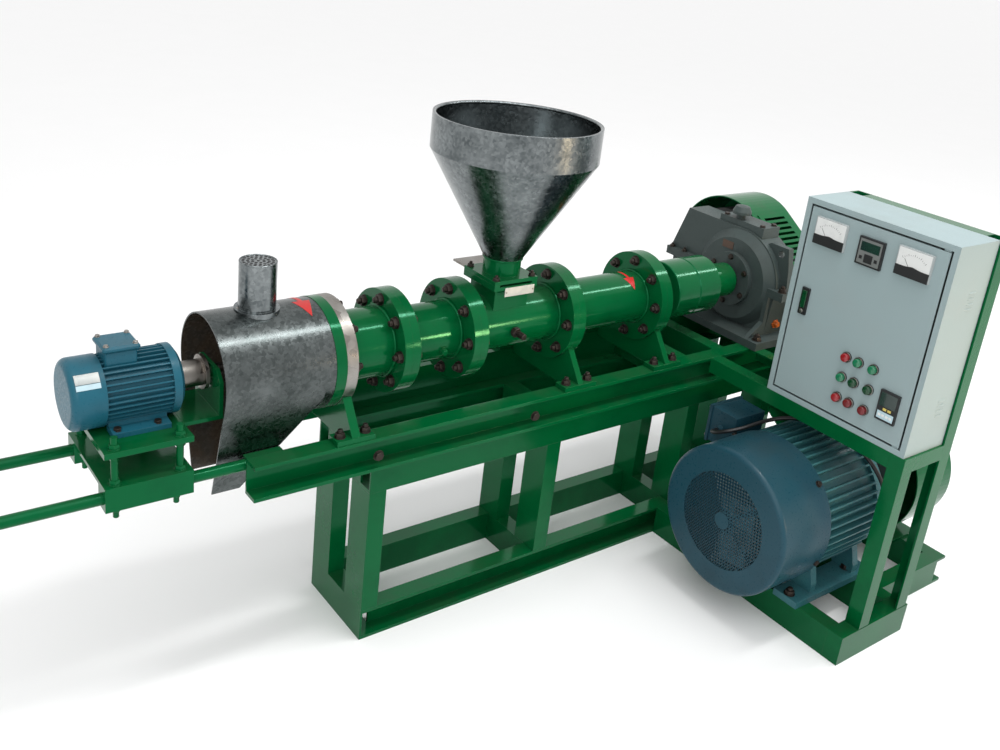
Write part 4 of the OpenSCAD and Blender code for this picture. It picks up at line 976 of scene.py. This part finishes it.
@dataclass
class HoodDress:
    """Red arrow, vent cap with dark discs of painted shade for its holes, and solder bead of the discharge
    hood.

    Attributes:
        drum_r: radius of the hood's drum.
        vent_x: place of the vent pipe.
        vent_r: radius of the vent pipe.
    """

    drum_r: float = 120 * MM
    vent_x: float = at(-224, 0, 0)[0]
    vent_r: float = 38 * MM

    def build(self) -> None:
        """Adds the hood's small pieces."""
        mark = arrow(116 * MM, 40 * MM, PAINT_HEIGHT).moved((at(-127, 0, 0)[0], -2 * MM, 0))
        piece("hood_arrow", wrapped(mark, self.drum_r + PAINT_LIFT), ARROW)
        cap = np.array((self.vent_x, BARREL_AXIS[0], cad("hood_vent")[1][2]))
        rings = [circle_places(cap, 2, r * MM, count) for r, count in ((30, 20), (21, 14), (12, 8))]
        pit = turned([(3.2, 0.0), (3.2, 0.25)], 10).scaled(MM)
        # The vent cap's holes are not cut: small dark discs of painted shade stand in for the shade inside
        # them
        piece("vent_holes_painted_shade", pit.stood(np.concatenate([*rings, cap[None]]), UP), PAINTED_SHADE)
        piece("vent_rim", torus(self.vent_r - 1.2 * MM, 1.6 * MM).moved(cap), ZINC)
        self.bead()

    def bead(self) -> None:
        """Adds the solder bead where the vent meets the drum.

        The bead's line is the vent's circle lifted to the drum's height, sqrt(R^2 - y^2) over the axis, and
        its radius swells and shrinks by two sines.
        """
        sides, around = 72, 8
        a = np.arange(sides)[:, None] * 2 * math.pi / sides
        b = np.arange(around) * 2 * math.pi / around
        swell = 3.4 * MM * (1 + 0.22 * np.sin(7 * a) + 0.15 * np.sin(13 * a + 1))
        r = self.vent_r + 0.5 * MM + swell * np.cos(b)
        x, y = r * np.cos(a), r * np.sin(a)
        z = np.sqrt(self.drum_r**2 - y**2) + swell * np.sin(b)
        points = np.stack([x + self.vent_x, y + BARREL_AXIS[0], z + BARREL_AXIS[1]], -1).reshape(-1, 3)
        piece("vent_bead", Shape(points, loop_faces(sides, around)), STEEL, smooth=BEAD_SMOOTH)


@dataclass
class FeedDress:
    """Fittings on the feed barrel, throat, bearing housing and hopper.

    Attributes:
        tube_r: radius of the barrel tubes.
        front_r: radius of the front barrel, which is wider.
        throat: from the hopper's middle to the throat bolts.
    """

    tube_r: float = 68 * MM
    front_r: float = 79 * MM
    throat: float = 52 * MM

    def build(self) -> None:
        """Adds all fittings of the feed end."""
        mark = arrow(78 * MM, 34 * MM, PAINT_HEIGHT).moved((at(797, 0, 0)[0], 24 * MM, 0))
        piece("housing_arrow", wrapped(mark, self.tube_r + PAINT_LIFT), ARROW)
        piece("throat_plate", plate(at(360, -64.2, 789), at(446, -62.6, 811), 0.4 * MM), PALE)
        pin = turned([(2.2, 0.0), (2.0, 1.0), (0.8, 1.6)], 10).scaled(MM)
        piece("throat_plate_pins", pin.stood([at(x, -64.2, 800) for x in (364, 442)], NEAR), STEEL)
        self.fittings()
        low, high = cad("hopper_neck")
        x, y, top = (low[0] + high[0]) / 2, BARREL_AXIS[0], low[2] + 9 * MM
        spots = [(x + i * self.throat, y + j * self.throat, top) for i in (-1, 1) for j in (-1, 1)]
        piece("throat_bolts", M8.nut_shape().stood(spots, UP, 0.5), BOLT)
        piece("neck_bead", torus(46.5 * MM, 2.4 * MM).moved(at(392, 0, 866)), GREEN)
        self.welds()

    def fittings(self) -> None:
        """Adds the probe on the near side of the feed barrel, and a plug on the barrel beside it."""
        stem = turned([(9, 0), (9, 8), (6, 8.01), (6, 22), (8, 22.01), (8, 38), (6.5, 40)], 18)
        probe = joined([stem, turned([(13, 5), (13, 14), (11.5, 16)], 6)]).scaled(MM)
        piece("barrel_probe", probe.stood([at(397, -65, 700)], (0.12, -1, -0.1)), BOLT)
        plug = turned([(11, 0), (11, 3), (8, 3.01), (8, 10), (6.5, 11.5)], 6).scaled(MM)
        angle = math.radians(108)
        out = np.array((0.0, -math.sin(angle), math.cos(angle)))
        spot = np.array((at(200, 0, 0)[0], *BARREL_AXIS)) + self.tube_r * out
        piece("barrel_plug", plug.stood([spot], out), GREEN)

    def welds(self) -> None:
        """Adds weld beads where the barrel tubes meet their flanges."""
        thick = 4.0 * MM
        tubes = (291, 537, 583, 837, 109, 245)
        beads = [torus(r + 1.0 * MM, thick, 60).stood([at(x, 0, AXIS_MM) for x in places], RIGHT)
                 for r, places in ((self.tube_r, tubes), (self.front_r, (-46, 63)))]
        piece("barrel_welds", joined(beads), GREEN, smooth=BEAD_SMOOTH)


@dataclass
class GearDress:
    """Bolts, a plug and a bare plate on the gearbox."""

    def build(self) -> None:
        """Adds the gearbox's small pieces."""
        cap = circle_places(at(1224, 0, AXIS_MM), 0, 66 * MM, 6, math.radians(30))
        bolts = [
            M12.nut_shape().stood([at(x, -168, 716) for x in (1262, 1325)], UP, 0.2),
            M8.nut_shape().stood([at(1254, y, 716) for y in (202, 252)], UP, 0.2),
            M8.head_shape().stood(cap, LEFT),
            M14.nut_shape().stood([at(1210, y, 575) for y in (-155, 150, 226)], UP, 0.7),
            M8.head_shape().stood([at(x, y, 867) for x in (1279, 1328) for y in (-46, 86)], UP, 0.3),
        ]
        piece("gearbox_bolts", joined(bolts), BOLT)
        plug = turned([(13, 0), (13, 4), (9, 4.01), (9, 12), (7.5, 14)], 6).scaled(MM)
        piece("oil_plug", plug.stood([at(1300, -137.5, 605)], NEAR), PLUG)
        piece("gearbox_plate", plate(at(1238.8, 11, 785), at(1240.2, 51, 807), 0.3 * MM), BRONZE)


@dataclass
class MotorDress:
    """Grille with painted shade behind it, fan, screws and foot bolts of the main motor.

    Attributes:
        axis: place of the motor's axis at the cowl's face.
        grille_r: radius of the grille.
        hub_r: radius of its hub.
        depth: depth of the recess.
        rim_r: radius at which the cowl's screws sit.
    """

    axis: Point = at(820, -448, 272)
    grille_r: float = 125 * MM
    hub_r: float = 22 * MM
    depth: float = 6 * MM
    rim_r: float = 190 * MM

    def build(self) -> None:
        """Adds the motor's small pieces."""
        face = np.array(self.axis)
        bars = lattice(self.grille_r - 0.5 * MM, self.hub_r, 8.5 * MM, 4.2 * MM, 1.6 * MM)
        piece("motor_grille", bars.stood([face + (1.9 * MM, 0, 0)], LEFT, math.radians(8)), MOTOR)
        inner, outer, thick = self.hub_r + 1 * MM, self.grille_r - 0.6 * MM, 0.3 * MM
        # A dark ring behind the grille: painted shade standing in for the shade inside the cowl
        back = turned([(inner, 0.0), (outer, 0.0), (outer, thick), (inner, thick)], 64)
        piece("motor_grille_painted_shade", back.stood([face + (self.depth - 0.05 * MM, 0, 0)], LEFT), PAINTED_SHADE)
        self.fan(face)
        self.screws()

    def fan(self, face: np.ndarray) -> None:
        """Adds the pale fan blades that catch light behind the near half of the grille.

        A blade is a ring sector between two radii, 1 mm thick; the angle runs from the near side (0) up (90).
        """
        inner, outer = self.hub_r + 12 * MM, self.grille_r - 3 * MM
        blades = []
        for first, last in ((-96, -34), (-28, 36), (43, 116)):
            a = np.radians(np.linspace(first, last, 14))
            arc = np.stack([-np.cos(a), np.sin(a)], -1)
            flat = np.concatenate([inner * arc, (outer * arc)[::-1]])
            n = len(flat)
            low = np.c_[np.full(n, self.depth - 1.4 * MM), flat]
            points = np.concatenate([low, low + (1.0 * MM, 0, 0)]) + face
            faces = [list(range(n))[::-1], list(range(n, 2 * n))]
            faces += [[(i + 1) % n + n, i + n, i, (i + 1) % n] for i in range(n)]
            blades.append(Shape(points, faces))
        piece("motor_fan", joined(blades), PALE)

    def screws(self) -> None:
        """Adds cowl screws, foot bolts and the lid screws of the terminal box."""
        shapes = []
        rim = np.array((at(985, 0, 0)[0], *self.axis[1:]))
        for a in np.radians((45.0, 135.0, 200.0, 315.0)):
            out = np.array((0.0, math.cos(a), math.sin(a)))
            shapes.append(M8.head_shape().stood([rim + self.rim_r * out], out))
        feet = [at(x, side, 98) for x in (964, 1196) for side in (-589, -307)]
        shapes.append(M14.nut_shape().stood(feet, UP, 0.3))
        piece("motor_bolts", joined(shapes), BOLT)
        lid = [at(x, -190, h) for x in (1026, 1129) for h in (338, 422)]
        piece("motor_lid_screws", M5.head_shape().stood(lid, FAR), STEEL)


@dataclass(frozen=True)
class Fitting:
    """Small plates of one finish on a door instrument.

    Attributes:
        name: the piece's name.
        finish: its finish.
        plates: offset along Y and Z from the instrument's middle, width, height, lowest and highest stand-off
            from the instrument's front, and ease of the edges, all in millimetres.
    """

    name: str
    finish: Finish
    plates: tuple[tuple[float, ...], ...]

    def build(self, y: float, z: float, front: float) -> None:
        """Adds the piece on an instrument with its middle at Y and Z and its front off the door."""
        shapes = []
        for dy, dz, wide, high, near, far, ease in self.plates:
            low = at(DOOR_MM - front - far, y + dy - wide / 2, z + dz - high / 2)
            top = at(DOOR_MM - front - near, y + dy + wide / 2, z + dz + high / 2)
            shapes.append(plate(low, top, ease * MM))
        piece(self.name, joined(shapes), self.finish, Body.DOOR)


COUNTER = (
    Fitting("counter_window", DISPLAY, ((0, 12, 50, 22, -0.3, 0.8, 0.3),)),
    Fitting("counter_bezel", GREY, ((0, 0, 58, 58, -0.3, 0.4, 0.2),)),
    Fitting("counter_keys", BLACK, ((0, -15, 22, 20, 0, 1.4, 0.4),
                                    *((dy, -15, 8, 8, 0, 1.6, 0.5) for dy in (-20, 20)))),
)
CONTROLLER = (
    Fitting("controller_window", DISPLAY, ((0, 16, 42, 34, -0.3, 0.9, 0.3),)),
    Fitting("controller_row", AMBER, tuple((dy, -7, 9, 6, 0, 1.0, 0.2) for dy in (-8, 4))),
    Fitting("controller_face", PALE_BLUE, ((0, -23, 42, 18, -0.3, 0.7, 0.3),)),
    Fitting("controller_keys", SCALE_WHITE, tuple((dy, -23, 7, 6, 0, 1.6, 0.4) for dy in (-14, -5, 5, 14))),
)
LOCK = (Fitting("lock_lever", CAP_GREEN, ((0, 6, 13, 44, -0.3, 2.5, 0.8),)),)
# Lamps and buttons on the door: finish, and Y and Z of each in the machine's own measures
LAMPS = {
    "red": (LENS_RED, ((-550, 725), (-550, 620))),
    "dark_red": (CAP_RED, ((-584, 620), (-625, 620))),
    "green": (LENS_GREEN, ((-584, 725), (-625, 725), (-550, 673))),
    "dark_green": (CAP_GREEN, ((-584, 673), (-625, 673))),
}


@dataclass
class DoorDress:
    """Faces of meters, displays, lamps and lock on the cabinet's door, and the louvres of its near side.

    Attributes:
        meters: Y of the two panel meters.
        meter_z: height of their middles.
        meter_front: how far their fronts stand off the door.
        meter_wide: width of a meter, all in the machine's own measures.
    """

    meters: tuple[float, float] = (-435, -658)
    meter_z: float = 996
    meter_front: float = 9
    meter_wide: float = 85

    def build(self) -> None:
        """Adds the door's small pieces."""
        for index, y in enumerate(self.meters):
            self.meter(index, y)
        for fittings, place in ((COUNTER, (-547, 986, 8)), (CONTROLLER, (-683, 655, 7))):
            for fitting in fittings:
                fitting.build(*place)
        self.lamps()
        self.lock()
        self.louvres()

    def meter(self, index: int, y: float) -> None:
        """Adds dial, scale, pointer and lower cover of a panel meter."""
        z, front, wide = self.meter_z, self.meter_front, self.meter_wide
        dial = Fitting(f"meter_dial_{index}", SCALE_WHITE, ((0, 0, wide - 4, 62, -0.5, 0.3, 0.1),))
        dial.build(y, z, front)
        # Ticks on an arc about the pivot low in the dial, then the pointer: angle from upright, half width,
        # start and end from the pivot, thickness and stand-off
        angles = np.linspace(-42, 42, 13)
        bars = [(turn, 0.35, 40, 43 if k % 3 else 45, 0.15, 0.25) for k, turn in enumerate(angles)]
        bars.append((38, 0.4, 6, 38, 0.3, 0.28))
        shapes = []
        for turn, half, start, end, thick, off in bars:
            bar = plate((-half, start, 0), (half, end, thick)).scaled(MM)
            shapes.append(bar.repeated(self.upright(at(DOOR_MM - front - off, y, z - 22), turn)))
        piece(f"meter_scale_{index}", joined(shapes), BLACK, Body.DOOR)
        cover = self.cover(wide - 1, 23, 3, 1.6).repeated(self.upright(at(DOOR_MM - front, y, z - 32.5)))
        piece(f"meter_cover_{index}", cover, BLACK, Body.DOOR)

    @staticmethod
    def cover(wide: float, high: float, hump: float, thick: float) -> Shape:
        """A meter's lower cover, whose upper edge has a hump in the middle.

        The edge's height over the way u from -1 to 1 is the plain height plus the hump times
        exp(-(u / 0.3)^2).

        Args:
            wide: width in millimetres.
            high: height at the ends.
            hump: how far the middle stands higher.
            thick: thickness along Z.

        Returns:
            The closed shape, standing on Y = 0.
        """
        u = np.linspace(-1, 1, 25)
        x, top = u * wide / 2, high + hump * np.exp(-((u / 0.3) ** 2))
        return four_sided([(x, 0.0, 0.0), (x, top, 0.0), (x, top, thick), (x, 0.0, thick)]).scaled(MM)

    @staticmethod
    def upright(place: Point, turn: float = 0.0) -> np.ndarray:
        """A matrix that sets a flat shape on the door with its Y up, turned by some degrees in that plane."""
        c, s = math.cos(math.radians(turn)), math.sin(math.radians(turn))
        side, up = np.array(NEAR), np.array(UP)
        made = np.eye(4)
        made[:3] = np.stack([c * side + s * up, c * up - s * side, LEFT, place], -1)
        return made[None]

    def lamps(self) -> None:
        """Adds the lamp lenses and button caps in their colours, with a bright ring under each."""
        dome = turned([(10.2, 4.0), (10.2, 12.6), (9.2, 13.8), (6.0, 14.6), (0.2, 14.9)], 24).scaled(MM)
        for tone, (finish, spots) in LAMPS.items():
            caps = dome.stood([at(DOOR_MM, *spot) for spot in spots], LEFT)
            piece(f"lamp_caps_{tone}", caps, finish, Body.DOOR)
        every = [at(DOOR_MM - 4, *spot) for _, spots in LAMPS.values() for spot in spots]
        piece("lamp_rings", torus(11.8 * MM, 1.3 * MM, 24).stood(every, LEFT), STEEL, Body.DOOR)

    def lock(self) -> None:
        """Adds the lock's lever plate and key barrel."""
        y, z, front = -403, 814, 6
        for fitting in LOCK:
            fitting.build(y, z, front)
        barrel = turned([(5.0, 0.0), (5.0, 2.2), (4.2, 3.0)], 20).scaled(MM)
        piece("lock_barrel", barrel.stood([at(DOOR_MM - front, y, z - 25)], LEFT), STEEL, Body.DOOR)

    def louvres(self) -> None:
        """Adds two groups of pressed louvres on the cabinet's near side."""
        starts = [at(1112, -750, z + 13 * k) for z in (640, 905) for k in range(4)]
        ribs = [self.rib(start, 30 * MM, 7 * MM, 2.4 * MM) for start in starts]
        piece("cabinet_louvres", joined(ribs), CABINET, smooth=BEAD_SMOOTH)

    @staticmethod
    def rib(start: Point, length: float, width: float, height: float) -> Shape:
        """A half-round rib along X that stands out toward -Y with closed, tapering ends.

        The height over the ways u along and v across is sin(pi u)^0.35 sin(pi v).

        Args:
            start: its lowest corner.
            length: along X.
            width: along Z.
            height: how far it stands out.

        Returns:
            The closed shape.
        """
        rows, columns = 13, 7
        u, v = np.linspace(0, 1, rows)[:, None], np.linspace(0, 1, columns)[None, :]
        swell = np.sin(math.pi * np.clip(u, 0.001, 0.999)) ** 0.35 * np.sin(math.pi * v)
        x, y, z = start[0] + length * u, start[1] - height * swell + 0.2 * MM, start[2] + width * v
        points = np.stack(np.broadcast_arrays(x, y, z), -1).reshape(-1, 3)
        back = points.copy()
        back[:, 1] = start[1] + 0.4 * MM
        numbers = np.arange(rows * columns).reshape(rows, columns)
        sides = (numbers[:, 0], numbers[-1, 1:], numbers[-2::-1, -1], numbers[0, -2:0:-1])
        edge = np.concatenate(sides).tolist()
        count = rows * columns
        faces = grid_faces(rows, columns, False)
        walls = [[b, a, a + count, b + count] for a, b in zip(edge, edge[1:] + edge[:1])]
        under = [[i + count for i in f[::-1]] for f in faces]
        return Shape(np.concatenate([points, back]), [f[::-1] for f in faces + walls + under])


@dataclass
class CutterDress:
    """Nuts, bolts, terminal case and bare plates of the cutter's carriage and motor."""

    def build(self) -> None:
        """Adds the cutter's small pieces."""
        studs = [(x, y) for x in (-543, -420) for y in (-105, 105)]
        nuts = [M12.hexagon(10 * MM).stood([at(x, y, z) for x, y in studs], way, 0.35)
                for z, way in ((633, UP), (621, DOWN), (559, UP))]
        piece("stud_nuts", joined(nuts), GREEN, Body.CARRIAGE)
        clamps = [at(x, y, 509) for x in (-540, -425) for y in (-99, 99)]
        piece("clamp_bolts", CLAMP.nut_shape().stood(clamps, DOWN, 0.2), GREEN, Body.CARRIAGE)
        feet = [at(x, y, 643) for x in (-522, -446) for y in (-59, 59)]
        piece("cutter_foot_bolts", M8.head_shape().stood(feet, UP, 0.1), BOLT, Body.CARRIAGE)
        self.terminal_case()
        self.plates()

    def terminal_case(self) -> None:
        """Adds the terminal case: an eased body that stands in the drum, a lid and four screws."""
        body = plate(at(-533, -29, 758), at(-473, 29, 790), 3 * MM)
        lid = plate(at(-538, -34, 789), at(-468, 34, 801), 4 * MM)
        made = piece("cutter_terminal_case", joined([body, lid]), CUTTER, Body.CARRIAGE)
        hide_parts("cutter_terminal_box")
        screws = [at(x, y, 801) for x in (-530, -476) for y in (-26, 26)]
        piece("cutter_lid_screws", M5.head_shape().stood(screws, UP), STEEL, Body.CARRIAGE)

    def plates(self) -> None:
        """Adds a bare plate with a pale blue lower band on the cutter motor's cowl, bent to its drum."""
        low, high = cad("cutter_cowl")
        drum_r, x = (high[1] - low[1]) / 2 + 0.2 * MM, (low[0] + high[0]) / 2
        plates = (("cutter_plate", 44, 20, PALE), ("cutter_plate_band", 57, 10, PALE_BLUE))
        for name, turn, wide, finish in plates:
            flat = wafer(44 * MM, wide * MM, 0.5 * MM).moved((x, math.radians(turn) * drum_r, 0))
            piece(name, wrapped(flat, drum_r), finish, Body.CARRIAGE)


@dataclass
class FrameDress:
    """Bolts of the bed."""

    def build(self) -> None:
        """Adds the frame's bolts."""
        bed = M12.nut_shape().stood([at(x, -134.5, 553) for x in (1200, 1330)], UP, 0.1)
        web = M12.head_shape().stood([at(x, -156, 512) for x in (-8, 420)], NEAR, 0.2)
        piece("bed_bolts", joined([bed, web]), BOLT)


# Stage


@dataclass
class Stage:
    """Camera, floor and light.

    Attributes:
        eye: the camera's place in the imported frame.
        right: direction of the picture's right side.
        down: direction of the picture's lower side.
        lens: focal length on a 36 mm sensor.
        shift_y: how far the picture is shifted down.
        floor_half: half the floor's side.
    """

    eye: Point = (-1.40546, -1.59937, 1.633)
    right: Point = (0.79963, -0.590549, 0.108828)
    down: Point = (-0.122132, -0.337384, -0.933411)
    lens: float = 37.08
    shift_y: float = -0.091
    floor_half: float = 300.0

    def build(self) -> None:
        """Adds camera, floor, lamps and world."""
        self.camera()
        self.floor()
        self.lamps()
        self.world()

    def camera(self) -> None:
        """Adds the camera at the photograph's view."""
        data = bpy.data.cameras.new("camera")
        data.lens = self.lens
        data.sensor_width = 36.0
        data.shift_y = self.shift_y
        data.clip_end = 100.0
        made = bpy.data.objects.new("camera", data)
        right, up = Vector(self.right), -Vector(self.down)
        turn = Matrix((right, up, right.cross(up))).transposed()
        made.matrix_world = Matrix.Translation(self.eye) @ turn.to_4x4()
        bpy.context.scene.collection.objects.link(made)
        bpy.context.scene.camera = made

    def floor(self) -> None:
        """Adds the pale floor."""
        mesh = bpy.data.meshes.new("floor")
        corners = np.array(((-1, -1, 0), (1, -1, 0), (1, 1, 0), (-1, 1, 0))) * self.floor_half
        mesh.from_pydata(corners, [], [[0, 1, 2, 3]])
        made = bpy.data.objects.new("floor", mesh)
        bpy.context.scene.collection.objects.link(made)
        material, tree, shader = new_material("pale_floor")
        coords = tree.add("ShaderNodeTexCoord").outputs["Object"]
        tone = tree.span(tree.noise(coords, 3.0), *GRAIN_SPAN)
        tree.feed(shader.inputs["Base Color"], tree.mix(tone, (0.932, 0.932, 0.932), (0.940, 0.940, 0.940)))
        shader.inputs["Roughness"].default_value = 0.9
        mesh.materials.append(material)

    def lamps(self) -> None:
        """Adds a strip whose reflection shows on the barrel, a soft lamp, a warm spot and an even light."""
        self.lamp("overhead", "AREA", (1.9, -0.7, 3.2), (1.9, 0.2, 0.6), energy=70.0, shape="RECTANGLE",
                  size=4.2, size_y=0.24)
        self.lamp("front_left", "AREA", (-2.8, -2.6, 2.2), (0.0, 0.0, 0.6), energy=24.0, shape="RECTANGLE",
                  size=1.6, size_y=1.6)
        self.lamp("side", "SPOT", (2.0, -3.0, 0.85), (0.78, -0.55, 0.82), energy=200.0,
                  color=(1.0, 0.72, 0.42), spot_size=math.radians(22), spot_blend=0.6, shadow_soft_size=0.3)
        even = self.lamp("even", "SUN", (0.0, 0.0, 0.0), (0.0, 0.0, -1.0), energy=1.3, angle=math.radians(70))
        even.rotation_euler = (math.radians(24), math.radians(-18), 0.0)

    @staticmethod
    def lamp(name: str, kind: str, place: Point, aim: Point, **settings: object) -> bpy.types.Object:
        """Adds a lamp.

        Args:
            name: the lamp's name.
            kind: Blender's light type.
            place: where it stands.
            aim: where it points.
            **settings: values of its light data.

        Returns:
            The new object.
        """
        data = bpy.data.lights.new(name, kind)
        for key, value in settings.items():
            setattr(data, key, value)
        made = bpy.data.objects.new(name, data)
        made.location = place
        made.rotation_euler = (Vector(aim) - Vector(place)).to_track_quat("-Z", "Y").to_euler()
        bpy.context.scene.collection.objects.link(made)
        return made

    def world(self) -> None:
        """Adds a plain white world that shows white to the camera, to metal and to glass."""
        made = bpy.data.worlds.new("studio")
        made.use_nodes = True
        tree = Tree(made.node_tree)
        path = tree.add("ShaderNodeLightPath").outputs
        mirrored = tree.math("MAXIMUM", path["Is Glossy Ray"], path["Is Transmission Ray"])
        seen = tree.math("MAXIMUM", path["Is Camera Ray"], mirrored)
        strength = tree.span(seen, 0.0, 1.0, 0.62, 1.0)
        light = tree.add("ShaderNodeBackground", Color=(1.0, 1.0, 1.0), Strength=strength)
        out = tree.add("ShaderNodeOutputWorld")
        tree.feed(out.inputs["Surface"], light.outputs[0])
        bpy.context.scene.world = made


def dress_nodes() -> None:
    """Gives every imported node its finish."""
    for name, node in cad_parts.items():
        finish = NODE_FINISH.get(name, GREEN)
        node.data.materials.clear()
        node.data.materials.append(Shop.get(finish))
        LOG.info("%s: %s", name, finish.name)


def main() -> None:
    """Builds the looks in order."""
    logging.basicConfig(level=logging.INFO, format="%(name)s %(message)s")
    bpy.context.scene.view_settings.view_transform = "Standard"
    for make_group in (grime_group, edge_group, spangle_group, lining_group):
        make_group()
    Stage().build()
    MotorCable(tuple(at(*p) for p in CABLE_ROUTE_MM)).build()
    dress_nodes()
    for part in (Barrel, HoodDress, FeedDress, GearDress, MotorDress, DoorDress, CutterDress, FrameDress):
        part().build()


if __name__ == "__main__":
    main()
